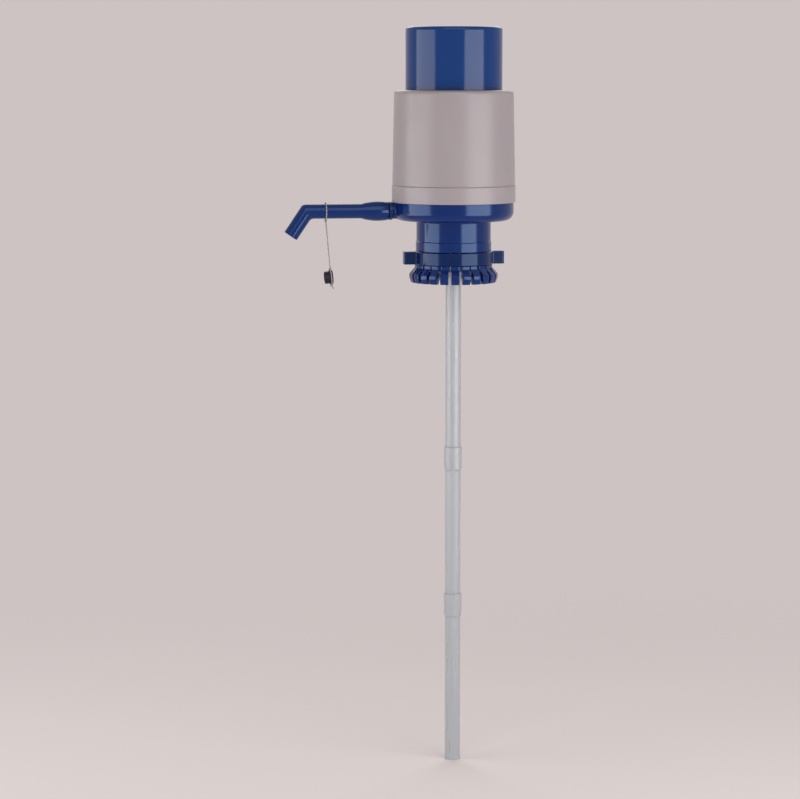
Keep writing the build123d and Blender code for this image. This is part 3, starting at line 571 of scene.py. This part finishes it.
def swell(along):
    """Outer radius of the socket: a barrel, then a taper down to the arm."""
    share = (along - spout_start) / swell_length
    if share <= 1:
        return socket_end_radius + swell_rise * (1 - (2 * share - 1) ** 2)
    share = min(1.0, (along - spout_start - swell_length) / swell_taper)
    return socket_end_radius + (spout_radius - socket_end_radius) * share * share * (3 - 2 * share)


swell_steps = 24
arm_steps = 6
tip_steps = 3
tip_spacing = 5 * MM
arm_start = spout_start + swell_length + swell_taper
arm_stretch = elbow_x - arm_start - elbow_room
swell_places = [spout_start + (arm_start - spout_start) * step / swell_steps
                for step in range(1, swell_steps + 1)]
tip_places = [elbow_room + tip_spacing * step for step in range(tip_steps)]
spout_shape = bmesh.new()
skin_rings(spout_shape, [
    arm_ring(spout_start, socket_bore + rim_round),
    arm_ring(spout_start, socket_end_radius - rim_round),
    arm_ring(spout_start + 0.3 * rim_round, socket_end_radius - 0.25 * rim_round),
    *[arm_ring(along, swell(along)) for along in swell_places],
    *[arm_ring(arm_start + arm_stretch * step / arm_steps, spout_radius)
      for step in range(1, arm_steps + 1)],
    *elbow_rings(spout_radius),
    *[tip_ring(along, spout_radius) for along in tip_places],
    *[tip_ring(tip_length - back, radius) for back, radius in (
        (2 * rim_round, spout_radius), (rim_round, spout_radius),
        (0.3 * rim_round, spout_radius - 0.3 * rim_round), (0, spout_radius - rim_round),
        (0, mouth_seat + 0.5 * rim_round), (0.5 * rim_round, mouth_seat),
        (seat_depth, mouth_seat), (seat_depth, spout_bore))],
    *reversed(elbow_rings(spout_bore)),
    arm_ring(socket_floor, spout_bore),
    arm_ring(socket_floor, socket_bore),
    arm_ring(spout_start + rim_round, socket_bore),
])
spout = piece("spout_arm", spout_shape, body_blue)
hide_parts("spout")
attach(spout, "spout")


# ---- Lock ring ---------------------------------------------------------------
# Ring with two square lugs, turned by hand, moulded in polypropylene and held up by the
# claws' shoulders. Six shallow cams inside it close the claws on the bottle's neck.

# The base's blue polypropylene, made darker as painted shade for the lugs' dark sides,
# and with less shine: the lugs' flat sides stay dark, and only the ring's round takes the lamps.
ring_blue_painted_shade = moulded_plastic("polypropylene_deep_blue_handled", "#041a48", "#07204f",
                           gloss=(0.11, 0.17), peel=1.2 * MM, peel_depth=0.005 * MM,
                           shine_level=0.36, shine_tint="#bddaff")
ring_low, ring_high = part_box("lock_ring")
ring_radius = 35.2 * MM
lug_half = 5 * MM
lug_corner = 1.5 * MM
lug_root = 1.2 * MM
cam_radius = 25 * MM
cam_centre = 7.65 * MM
cam_count = 6
first_pad = radians(7.5)
half_travel = radians(24)
cam_first = first_pad - half_travel
edge_round = 0.6 * MM


def cam_bore(angle):
    """Inner radius of the ring at an angle: the nearest of its eccentric cams."""
    step = tau / cam_count
    off = (angle - cam_first + step / 2) % step - step / 2
    aside = cam_centre * sin(off)
    return cam_centre * cos(off) + sqrt(cam_radius ** 2 - aside ** 2)


def arc(centre, radius, start, end, steps):
    """Points on an arc, angles in radians."""
    swings = [start + (end - start) * k / steps for k in range(steps + 1)]
    return [Vector((centre[0] + radius * cos(swing), centre[1] + radius * sin(swing)))
            for swing in swings]


root_y = lug_half + lug_root
root_x = sqrt((ring_radius + lug_root) ** 2 - root_y ** 2)
root_angle = atan2(root_y, root_x)
flat_hold = 0.3 * MM
corner_x = ring_high.x - lug_corner
corner_y = lug_half - lug_corner
flat_start = root_x + flat_hold
flat_end = corner_x - flat_hold
half_ring = [
    *arc((root_x, -root_y), lug_root, pi - root_angle, pi / 2, 4),
    Vector((flat_start, -lug_half)), Vector((flat_end, -lug_half)),
    *arc((corner_x, -corner_y), lug_corner, -pi / 2, 0, 5),
    Vector((ring_high.x, flat_hold - corner_y)), Vector((ring_high.x, corner_y - flat_hold)),
    *arc((corner_x, corner_y), lug_corner, 0, pi / 2, 5),
    Vector((flat_end, lug_half)), Vector((flat_start, lug_half)),
    *arc((root_x, root_y), lug_root, -pi / 2, root_angle - pi, 4),
    *arc((0, 0), ring_radius, root_angle, pi - root_angle, 72)[1:-1],
]
ring_outline = half_ring + [-point for point in half_ring]


def inset(outline, depth):
    """The outline moved inwards by a depth, square to itself."""
    moved = []
    for i, point in enumerate(outline):
        way = (outline[(i + 1) % len(outline)] - outline[i - 1]).normalized()
        moved.append(point + Vector((-way.y, way.x)) * depth)
    return moved


def level(outline, z):
    return [Vector((point.x, point.y, z)) for point in outline]


bore_outline = []
for point in ring_outline:
    angle = atan2(point.y, point.x)
    bore_outline.append(Vector((cos(angle), sin(angle))) * cam_bore(angle))
edge_steps = 4
edge = [(edge_round * (1 - sin(pi / 2 * step / edge_steps)),
         edge_round * (1 - cos(pi / 2 * step / edge_steps)))
        for step in range(edge_steps + 1)]
ring_shape = bmesh.new()
skin_rings(ring_shape, [
    level(bore_outline, ring_low.z),
    *[level(inset(ring_outline, inwards), ring_low.z + up) for inwards, up in edge],
    *[level(ring_outline, ring_low.z + (ring_high.z - ring_low.z) * share)
      for share in (0.1, 0.5, 0.9)],
    *[level(inset(ring_outline, inwards), ring_high.z - down) for down, inwards in edge],
    level(bore_outline, ring_high.z),
])
# The ring's darker blue is painted shade standing in for the lugs' shaded sides.
lock_ring = piece("lock_ring_with_lugs", ring_shape, ring_blue_painted_shade)
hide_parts("lock_ring")
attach(lock_ring, "clamp")


# ---- Claws -------------------------------------------------------------------
# Collet of the base's blue polypropylene, pressed up into the collar: a ring on top, thin
# stems, a shoulder under the lock ring and flared claws with arched slots between them.
claw_low, claw_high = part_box("collet")
claw_count = 24
claw_bore = 28.3 * MM
stem_radius = 30.9 * MM
shoulder_radius = 35 * MM
shoulder_top = -16 * MM
shoulder_bottom = -18.7 * MM
slot_top = -20.3 * MM
slot_width = 3 * MM
stem_slot = 1.2 * MM
grip_z = -21 * MM
grip_depth = 0.4 * MM
grip_half = 0.7 * MM
bulge_radius = 39.85 * MM
bulge_top = -24.5 * MM
bulge_bottom = -27.5 * MM
tip_radius = 38.3 * MM
claw_mouth = 34.5 * MM
claw_round = 0.35 * MM
ring_foot = -3 * MM
ring_overlap = 0.3 * MM
shoulder_dip = 0.3 * MM
across_claw = (-1, -0.5, 0, 0.5, 1)


def gap_at(z):
    """Width of the slot beside a claw: parallel below, round at its top."""
    below = slot_top - z
    if below <= 0:
        return stem_slot
    if below >= slot_width / 2:
        return slot_width
    return max(stem_slot, 2 * sqrt(slot_width * below - below ** 2))


def claw_station(outside, inside):
    """Row of points across a claw, out and back, at one level of its section."""
    row = []
    for (radius, z), share in [(outside, s) for s in across_claw] + [
            (inside, -s) for s in across_claw]:
        half = pi / claw_count - asin(gap_at(z) / 2 / radius)
        row.append(Vector((radius * cos(half * share), radius * sin(half * share), z)))
    return row


def flare_outside(z):
    """Outer radius between the shoulder and the bulge."""
    return shoulder_radius + (bulge_radius - shoulder_radius) * (
        (shoulder_bottom - z) / (shoulder_bottom - bulge_top))


def flare_inside(z):
    """Inner radius: the bore with a low grip ridge, then a wide mouth below it."""
    ridge = claw_bore - grip_depth * max(0.0, 1 - abs(z - grip_z) / grip_half)
    mouth = claw_bore + (claw_mouth - claw_bore) * (grip_z - z) / (grip_z - claw_low.z)
    return max(ridge, mouth) if z < grip_z else ridge


arch = [slot_top - drop * MM for drop in (0, 0.1, 0.3, 0.7, 1.5)]
claw_levels = [
    ((stem_radius, ring_foot + ring_overlap), (claw_bore, ring_foot + ring_overlap)),
    ((stem_radius, shoulder_top), (claw_bore, shoulder_top)),
    ((shoulder_radius, shoulder_top), (claw_bore, shoulder_top - shoulder_dip)),
    ((shoulder_radius, shoulder_bottom), (claw_bore, shoulder_bottom)),
    *[((flare_outside(z), z), (flare_inside(z), z)) for z in arch],
    ((bulge_radius, bulge_top), (flare_inside(bulge_top), bulge_top)),
    ((bulge_radius, bulge_bottom), (flare_inside(bulge_bottom), bulge_bottom)),
    ((tip_radius, claw_low.z), (claw_mouth, claw_low.z)),
]
claw_shape = bmesh.new()
claw_rows = [[claw_shape.verts.new(point) for point in claw_station(*pair)]
             for pair in claw_levels]
for row, following in zip(claw_rows, claw_rows[1:]):
    for k in range(len(row)):
        claw_shape.faces.new([row[k - 1], row[k], following[k], following[k - 1]])
for row in (claw_rows[0], claw_rows[-1]):
    for k in range(len(across_claw) - 1):
        claw_shape.faces.new([row[k], row[k + 1], row[-k - 2], row[-k - 1]])
claw = piece("claw", claw_shape, body_blue)
claw.data.transform(Matrix.Rotation(pi / claw_count, 4, "Z"))
soft_edges = claw.modifiers.new("soft edges", "BEVEL")
soft_edges.width = claw_round
soft_edges.segments = 3
soft_edges.limit_method = "ANGLE"
soft_edges.angle_limit = radians(38)

claws = set_round("collet_claws", claw, claw_count, 0.0, body_blue)
welded = bmesh.new()
welded.from_mesh(claws.data)
bmesh.ops.remove_doubles(welded, verts=welded.verts, dist=0.001 * MM)
welded.to_mesh(claws.data)
welded.free()
claws.data.shade_smooth()
claws.data.set_sharp_from_angle(angle=radians(40))
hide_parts("collet")
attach(claws, "pump_body")
collet_ring = turned("collet_ring", rounded([
    (claw_bore, claw_high.z, 0.3 * MM),
    (stem_radius, claw_high.z, 0.3 * MM),
    (stem_radius, ring_foot, 0.3 * MM),
    (claw_bore, ring_foot, 0.3 * MM),
], steps=3), body_blue, segments=144)
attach(collet_ring, "pump_body")


# ---- Riser tubes -------------------------------------------------------------
# Three lengths of extruded polypropylene tube, pale and see-through. The upper one is
# pushed on the nipple in the base; the others are belled at the top to take the one above.

# Extruded natural polypropylene: milky grey, half see-through, with faint lines along
# the draw that break its highlight. The lines are drawn coarser than the real hair lines.
line_width = 1.5 * MM
line_squeeze = 0.02
line_depth = 0.02 * MM
tube_clear, tree, place = new_material("polypropylene_translucent_extruded")
lines = noise(tree, drawn_out(tree, place, line_squeeze), line_width, 3.0)
close_material(tree, lines, ("#d4d7db", "#c6c9ce"), {
    "Roughness": spread(tree, lines, (0.22, 0.38)), "IOR": 1.49, "Transmission Weight": 0.45,
}, lines, line_depth)

tube_radius = 7 * MM
tube_wall = 1 * MM
socket_depth = 20 * MM
socket_taper = 2 * MM
for node in ("upper_tube", "middle_tube", "lower_tube"):
    low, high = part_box(node)
    outline = [(tube_radius - tube_wall, low.z, 0.3 * MM), (tube_radius, low.z, 0.4 * MM)]
    bell_floor = high.z - socket_depth
    if high.x > tube_radius + 0.1 * MM:
        outline += [
            (tube_radius, bell_floor - socket_taper, 2 * MM),
            (high.x, bell_floor, 1 * MM),
            (high.x, high.z, 0.4 * MM),
            (high.x - tube_wall, high.z, 0.3 * MM),
            (high.x - tube_wall, bell_floor, 0.2 * MM),
            (tube_radius - tube_wall, bell_floor, 0.3 * MM),
        ]
    else:
        outline += [(tube_radius, high.z, 0.4 * MM), (tube_radius - tube_wall, high.z, 0.3 * MM)]
    tube = turned(node + "_length", rounded(outline, steps=3), tube_clear, segments=64)
    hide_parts(node)
    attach(tube, "pump_body")


# ---- Dust cap ----------------------------------------------------------------
# Small dark plug for the spout's mouth, moulded in soft polyethylene, with a hollow stem
# and a groove round its head. It hangs on its thread, whose sizes set its place.

# Soft polyethylene, matt from its mould: nearly black with a violet cast, and a dull
# broad sheen on its edges.
cap_dark = moulded_plastic("polyethylene_dark_soft", "#150c1c", "#1b1123",
                           gloss=(0.42, 0.55), peel=0.7 * MM, peel_depth=0.006 * MM,
                           shine_level=0.3)
head_radius = 6.3 * MM
head_half = 1.6 * MM
stem_length = 4 * MM
stem_outer = 5.55 * MM
cup_radius = 4.1 * MM
cup_floor = 0 * MM
plug_groove = 5.6 * MM
plug_groove_half = 0.7 * MM
thread_radius = 0.6 * MM
thread_clearance = 0.1 * MM
thread_length = 45.5 * MM
thread_x = -116 * MM
thread_lean = radians(5)
spout_loop_radius = spout_radius + thread_clearance + thread_radius
plug_loop_radius = plug_groove + thread_clearance + thread_radius
thread_top = Vector((thread_x, 0, outlet_z - spout_loop_radius))
hang = Vector((sin(thread_lean), 0, -cos(thread_lean)))
plug_centre = thread_top + hang * (thread_length + plug_loop_radius)
plug_way = Vector((-cos(thread_lean), 0, -sin(thread_lean)))
along_plug = Matrix.LocRotScale(plug_centre, plug_way.to_track_quat("Z", "Y"), None)
dust_cap = turned("dust_cap_plug", rounded([
    (0, -head_half, 0),
    (head_radius, -head_half, 0.5 * MM),
    (head_radius, -plug_groove_half, 0.15 * MM),
    (plug_groove, -plug_groove_half, 0.15 * MM),
    (plug_groove, plug_groove_half, 0.15 * MM),
    (head_radius, plug_groove_half, 0.15 * MM),
    (head_radius, head_half, 0.5 * MM),
    (stem_outer, head_half, 0.15 * MM),
    (stem_outer, head_half + stem_length, 0.5 * MM),
    (cup_radius, head_half + stem_length, 0.3 * MM),
    (cup_radius, cup_floor, 0.4 * MM),
    (0, cup_floor, 0),
], steps=4, hold=0.2 * MM), cap_dark, along_plug, segments=96)
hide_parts("dust_cap")
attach(dust_cap, "hanging_cap")


# ---- Thread ------------------------------------------------------------------
# Three-ply polyester thread that keeps the dust cap: a loop that slips on the spout, a
# straight run under the plug's weight, a loop in its groove and a cut tail.

# Twisted polyester: a soft mid grey that light passes a little, with fine fibres. The
# fibres are drawn 0.4 mm coarse, far over the real ones, so that they show.
fibre_width = 0.4 * MM
fibre_depth = 0.05 * MM
thread_grey, tree, place = new_material("polyester_thread_three_ply")
fibres = noise(tree, place, fibre_width, 4.0)
close_material(tree, fibres, ("#908a8d", "#b3adb0"), {
    "Roughness": 0.7, "IOR": 1.53, "Sheen Weight": 0.2, "Transmission Weight": 0.15,
}, fibres, fibre_depth)

knot_radius = 1.1 * MM
ply_count = 3
ply_radius = 0.37 * MM
ply_sides = 8
twist_pitch = 3.2 * MM


def plied(name, line, axis):
    """Twisted plies round a line of points that never runs along the axis, as one mesh."""
    shape = bmesh.new()
    closed = (line[0] - line[-1]).length < 1e-7
    travelled = [0.0]
    for before, after in zip(line, line[1:]):
        travelled.append(travelled[-1] + (after - before).length)
    turns = max(1, round(travelled[-1] / twist_pitch))
    for ply in range(ply_count):
        rings = []
        for i, point in enumerate(line):
            behind = line[i - 1] if i else line[-2 if closed else 0]
            ahead = line[i + 1] if i + 1 < len(line) else line[1 if closed else -1]
            way = (ahead - behind).normalized()
            turn = tau * (turns * travelled[i] / travelled[-1] + ply / ply_count)
            spoke = Matrix.Rotation(turn, 3, way) @ way.cross(axis).normalized()
            centre = point + spoke * (thread_radius - ply_radius)
            rings.append(ring_of(centre, spoke, way.cross(spoke), ply_radius, ply_sides))
        if closed:
            rings.pop()
        else:
            poles = [sum(ring, Vector()) / ply_sides for ring in (rings[0], rings[-1])]
            rings = [poles[:1], *rings, poles[1:]]
        skin_rings(shape, rings)
    return piece(name, shape, thread_grey)


route = bpy.data.curves.new("thread route", "CURVE")
route.dimensions = "3D"
spline = route.splines.new("NURBS")
knot_reach = 6 * 2 * thread_radius
route_points = [thread_top + hang * along for along in (
    knot_radius, knot_reach, thread_length - knot_reach, thread_length - knot_radius)]
spline.points.add(len(route_points) - 1)
for spot, point in zip(spline.points, route_points):
    spot.co = (*point, 1)
spline.order_u = 3
spline.use_endpoint_u = True
spline.resolution_u = 48
route_object = new_object("thread route", route)
graph = bpy.context.evaluated_depsgraph_get()
route_mesh = bpy.data.meshes.new_from_object(route_object.evaluated_get(graph))
run_line = [vertex.co.copy() for vertex in route_mesh.vertices]
bpy.data.objects.remove(route_object)
bpy.data.meshes.remove(route_mesh)
thread_run = plied("thread_run", run_line, Y)


def thread_loop(name, centre, way, radius, steps=96):
    """The thread laid round an axis, closed on itself."""
    side = way.orthogonal().normalized()
    line = ring_of(centre, side, way.cross(side), radius, steps)
    return plied(name, line + line[:1], way)


spout_loop = thread_loop("thread_loop_on_spout", Vector((thread_x, 0, outlet_z)), -X,
                         spout_loop_radius)
plug_loop = thread_loop("thread_loop_on_plug", plug_centre, plug_way, plug_loop_radius)
tail_length = 4 * MM
tail_lean = radians(30)
tail_steps = 12
tail_knot = plug_centre + hang * (plug_loop_radius + knot_radius)
tail_way = Vector((sin(tail_lean), 0, -cos(tail_lean)))
tail = plied("thread_tail", [tail_knot + tail_way * (tail_length * k / tail_steps)
                             for k in range(tail_steps + 1)], Y)


def knot(name, centre, way):
    """Overhand knot: a thread wound tight on itself, a trefoil about its way."""
    side = way.orthogonal().normalized()
    across = way.cross(side)
    size = knot_radius - thread_radius * 0.75
    steps = 96
    line = []
    for k in range(steps):
        t = tau * k / steps
        line.append(centre + side * ((sin(t) + 2 * sin(2 * t)) * size / 2.2)
                    + across * ((cos(t) - 2 * cos(2 * t)) * size / 2.2)
                    - way * (sin(3 * t) * size * 0.8))
    return plied(name, line + line[:1], way)


knots = [
    knot("knot_at_spout", thread_top + hang * knot_radius, hang),
    knot("knot_at_plug", plug_centre - hang * (plug_loop_radius + knot_radius), hang),
    knot("knot_at_tail", tail_knot, hang),
]
thread_pieces = [spout_loop, plug_loop, tail] + knots
for bit in [thread_run] + thread_pieces:
    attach(bit, "hanging_cap")
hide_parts("tether")


# ---- Inner pieces ------------------------------------------------------------
# What the case and base hide keeps its plain form: natural white mouldings that are
# screwed together, black valve discs and O-ring, a silicone gasket for the bottle's rim.

# Natural ABS as it comes from the mould: a warm white with a soft even shine.
inner_white = moulded_plastic("abs_natural_white", "#d9d7cf", "#e2e0d9",
                              gloss=(0.35, 0.45), peel=1.5 * MM, peel_depth=0.01 * MM)


def rubber(name, colour, worn_colour, roughness, grain):
    """Moulded rubber: dull, speckled with dust and bloom, with a slightly rough skin.
    The speckles are as coarse as the grain given, so that they show."""
    skin_depth = 0.02 * MM
    material, tree, place = new_material(name)
    speckle = noise(tree, place, grain, 5.0)
    close_material(tree, speckle, (colour, worn_colour), {
        "Roughness": roughness, "Subsurface Weight": 0.05, "Subsurface Scale": 2 * MM,
    }, speckle, skin_depth)
    return material


# White silicone: a chalky white with a greasy dull light.
seal_white = rubber("silicone_white", "#cbcdcb", "#d8dad8", 0.5, 0.9 * MM)
# Black nitrile: nearly black, duller still.
seal_black = rubber("nitrile_rubber_black", "#17171a", "#222226", 0.55, 0.6 * MM)
for nodes, material in (
    (("water_elbow", "deck", "clamp_ring", "top_plate", "top_ring", "outlet_valve_cage",
      "intake_valve_cage"), inner_white),
    (("neck_gasket",), seal_white),
    (("outlet_valve_disc", "intake_valve_disc", "spout_o_ring"), seal_black),
):
    for node in nodes:
        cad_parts[node].data.materials.clear()
        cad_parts[node].data.materials.append(material)


# ---- Bellows -----------------------------------------------------------------
# Blow-moulded elastomer tube with round folds: the air pump itself, and the spring that
# lifts the cap. Clamped by a ring at each end, it shortens as the cap goes down.

# Thermoplastic elastomer: a slate grey that shines softly along the folds.
bellows_grey = rubber("thermoplastic_elastomer_grey", "#6f7b86", "#7d8994", 0.45, 1.5 * MM)
bellows_low, bellows_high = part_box("bellows")
bellows_flange = 1.2 * MM
bellows_neck = 31 * MM
bellows_peak = 38.5 * MM
bellows_wall = 1.4 * MM
lower_neck = 2.8 * MM
upper_neck = 6 * MM
fold_count = 10
lower_flange = bellows_high.x
upper_flange = 39.7 * MM
folds_low = bellows_low.z + bellows_flange + lower_neck
folds_high = bellows_high.z - bellows_flange - upper_neck
fold_pitch = (folds_high - folds_low) / fold_count
fold_round = 1.6 * MM
end_round = 0.5 * MM
folds = [(bellows_neck, folds_low, end_round)]
for fold in range(fold_count):
    folds.append((bellows_peak, folds_low + (fold + 0.5) * fold_pitch, fold_round))
    folds.append((bellows_neck, folds_low + (fold + 1) * fold_pitch, fold_round))
folds[-1] = (bellows_neck, folds_high, end_round)
inside_folds = [(radius - bellows_wall, z, max(0.3 * MM, corner - 0.5 * MM))
                for radius, z, corner in reversed(folds)]
bellows = turned("bellows_folded", rounded([
    (lower_flange, bellows_low.z, 0.3 * MM),
    (lower_flange, bellows_low.z + bellows_flange, 0.3 * MM),
    (bellows_neck, bellows_low.z + bellows_flange, 0.4 * MM),
    *folds,
    (bellows_neck, bellows_high.z - bellows_flange, 0.4 * MM),
    (upper_flange, bellows_high.z - bellows_flange, 0.3 * MM),
    (upper_flange, bellows_high.z, 0.3 * MM),
    (bellows_neck - bellows_wall, bellows_high.z, 0.3 * MM),
    *inside_folds,
    (bellows_neck - bellows_wall, bellows_low.z, 0.3 * MM),
], steps=4, hold=0.4 * MM), bellows_grey, segments=128)
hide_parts("bellows")
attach(bellows, "pump_body")
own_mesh(bellows)


# ---- Screws ------------------------------------------------------------------
# Zinc-plated steel screws with a pan head, a cross recess and a coarse thread that cuts
# its own way in plastic. They hold the deck, the lower clamp ring and the top plate.

# Bright zinc on steel: a cold pale metal whose gloss changes from crystal to crystal,
# drawn 0.5 mm wide, coarser than real, so that it shows.
crystal_width = 0.5 * MM
screw_steel, tree, place = new_material("zinc_plated_steel")
crystals = noise(tree, place, crystal_width, 5.0)
close_material(tree, crystals, ("#b4b6b8", "#c6c8cb"), {
    "Roughness": spread(tree, crystals, (0.2, 0.4)), "Metallic": 1.0})

screw_radius = 1.5 * MM
root_radius = 0.75 * screw_radius
thread_pitch = 1.1 * MM
first_thread = 1.2 * MM
crest_drop = 0.35 * MM
clamp_circle = 39.4 * MM
head_height = 2 * MM
head_flat = 1.9 * MM
head_edge = 2.8 * MM
head_side = 0.9 * MM
recess_half = 0.45 * MM
recess_reach = 1.5 * MM
recess_depth = 1.2 * MM


def screw(name, shank):
    """One screw along Z: head above the seat at 0, thread below it."""
    threads = max(2, round((shank - 2 * MM) / thread_pitch))
    outline = [(0, head_height, 0), (head_flat, head_height, 0.5 * MM),
               (head_edge, head_side, 0.5 * MM), (head_edge, 0, 0.15 * MM),
               (0.8 * screw_radius, 0, 0.1 * MM)]
    for k in range(threads):
        top = -first_thread - k * thread_pitch
        outline += [(root_radius, top, 0), (screw_radius, top - crest_drop, 0),
                    (root_radius, top - 2 * crest_drop, 0)]
    outline += [(root_radius, -shank, 0.2 * MM), (0, -shank, 0)]
    made = turned(name, rounded(outline, steps=3, hold=0.2 * MM), screw_steel, segments=32)
    cutter_shape = bmesh.new()
    for size in ((recess_reach, recess_half), (recess_half, recess_reach)):
        bmesh.ops.create_cube(cutter_shape, size=2, matrix=Matrix.LocRotScale(
            Z * head_height, None, (*size, recess_depth)))
    cutter = piece(name + "_recess", cutter_shape, screw_steel)
    cut = made.modifiers.new("recess", "BOOLEAN")
    cut.object = cutter
    cut.operation = "DIFFERENCE"
    cut.use_self = True
    settle(made)
    bpy.data.objects.remove(cutter)
    return made


for node, body, circle, count, first_angle, upwards in (
    ("deck_screws", "pump_body", deck_circle, 4, 45, False),
    ("clamp_ring_screws", "pump_body", clamp_circle, 6, 30, False),
    ("top_plate_screws", "cap", plate_circle, 4, 45, True),
):
    low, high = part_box(node)
    one_screw = screw(node + "_one", high.z - low.z - head_height)
    seat = low.z + head_height if upwards else high.z - head_height
    flip = Matrix.Rotation(pi, 4, "X") if upwards else Matrix()
    one_screw.data.transform(Matrix.Translation((circle, 0, seat)) @ flip)
    screws = set_round(node + "_set", one_screw, count, radians(first_angle), screw_steel)
    screws.data.shade_smooth()
    screws.data.set_sharp_from_angle(angle=radians(35))
    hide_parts(node)
    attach(screws, body)


# ---- Floor, lamps and camera -------------------------------------------------
# A plain pale floor under the riser tube. Two low soft boxes draw the long highlights
# on the cap and collar, two high panels fill from front and back, under a dim even sky.
backdrop_colour = "#cdc3c2"
floor_colour = "#f2e8e6"
floor_radius = 12
floor_shape = bmesh.new()
bmesh.ops.create_circle(floor_shape, cap_ends=True, radius=floor_radius, segments=96)
bmesh.ops.translate(floor_shape, verts=floor_shape.verts, vec=Z * cad_bounds[0].z)


def meets_backdrop(tree):
    """1 for rays that show the backdrop: seen, mirrored or through the tube."""
    rays = add_node(tree, "ShaderNodeLightPath").outputs
    mirrored = add_node(tree, "ShaderNodeMath", {
        0: rays["Is Camera Ray"], 1: rays["Is Glossy Ray"]}, operation="MAXIMUM")
    through = add_node(tree, "ShaderNodeMath", {
        0: mirrored.outputs[0], 1: rays["Is Transmission Ray"]}, operation="MAXIMUM")
    return through.outputs[0]


# Matt paint: takes the riser's soft shadow near the middle and fades into the backdrop.
floor_paint, tree, place = new_material("painted_floor_pale")
distance = add_node(tree, "ShaderNodeVectorMath", {0: place}, operation="LENGTH")
fade = add_node(tree, "ShaderNodeMapRange", {
    "Value": distance.outputs["Value"], "From Min": 0.45, "From Max": 1.1},
    interpolation_type="SMOOTHSTEP")
share = add_node(tree, "ShaderNodeMath", {
    0: fade.outputs["Result"], 1: meets_backdrop(tree)}, operation="MULTIPLY")
matt = add_node(tree, "ShaderNodeBsdfDiffuse", {"Color": linear(floor_colour)})
even = add_node(tree, "ShaderNodeEmission", {"Color": linear(backdrop_colour)})
both = add_node(tree, "ShaderNodeMixShader", {
    0: share.outputs[0], 1: matt.outputs[0], 2: even.outputs[0]})
add_node(tree, "ShaderNodeOutputMaterial", {"Surface": both.outputs[0]})
floor = piece("floor", floor_shape, floor_paint)

scene.world = bpy.data.worlds.new("studio")
scene.world.use_nodes = True
tree = scene.world.node_tree
tree.nodes.clear()
sky = add_node(tree, "ShaderNodeBackground", {"Color": linear("#e8e4e4"), "Strength": 0.24})
backdrop = add_node(tree, "ShaderNodeBackground", {
    "Color": linear(backdrop_colour), "Strength": 1.0})
pick = add_node(tree, "ShaderNodeMixShader", {
    0: meets_backdrop(tree), 1: sky.outputs[0], 2: backdrop.outputs[0]})
add_node(tree, "ShaderNodeOutputWorld", {"Surface": pick.outputs[0]})

eye_bearing = radians(-9)
lamp_aim = Z * 50 * MM


def soft_box(name, bearing, height, distance, width, tall, power):
    """Area lamp aimed at the pump's head: degrees from the camera, right positive, then
    metres and watts."""
    lamp = bpy.data.lights.new(name, "AREA")
    lamp.shape = "RECTANGLE"
    lamp.size, lamp.size_y = width, tall
    lamp.energy = power
    holder = new_object(name, lamp)
    holder.visible_camera = False
    angle = eye_bearing + radians(bearing)
    holder.location = (distance * sin(angle), -distance * cos(angle), height)
    holder.rotation_euler = (lamp_aim - holder.location).to_track_quat("-Z", "Y").to_euler()


soft_box("left soft box", -73, -0.1, 1.3, 1.35, 0.74, 10.5)
soft_box("right soft box", 48, -0.1, 1.3, 1.2, 0.74, 12)
soft_box("front panel above the camera", 0, 1.4, 2.0, 2.2, 1.8, 17)
soft_box("rear panel", 180, 1.5, 2.0, 2.4, 1.8, 27)

camera_data = bpy.data.cameras.new("camera")
camera_data.lens = 122
camera = new_object("camera", camera_data)
scene.camera = camera
eye_angle = radians(7)
eye_distance = 2.45
middle = (cad_bounds[0] + cad_bounds[1]) / 2
look_back = Vector((sin(eye_bearing) * cos(eye_angle),
                    -cos(eye_bearing) * cos(eye_angle), sin(eye_angle)))
camera.location = middle + look_back * eye_distance
camera.rotation_euler = (middle - camera.location).to_track_quat("-Z", "Y").to_euler()
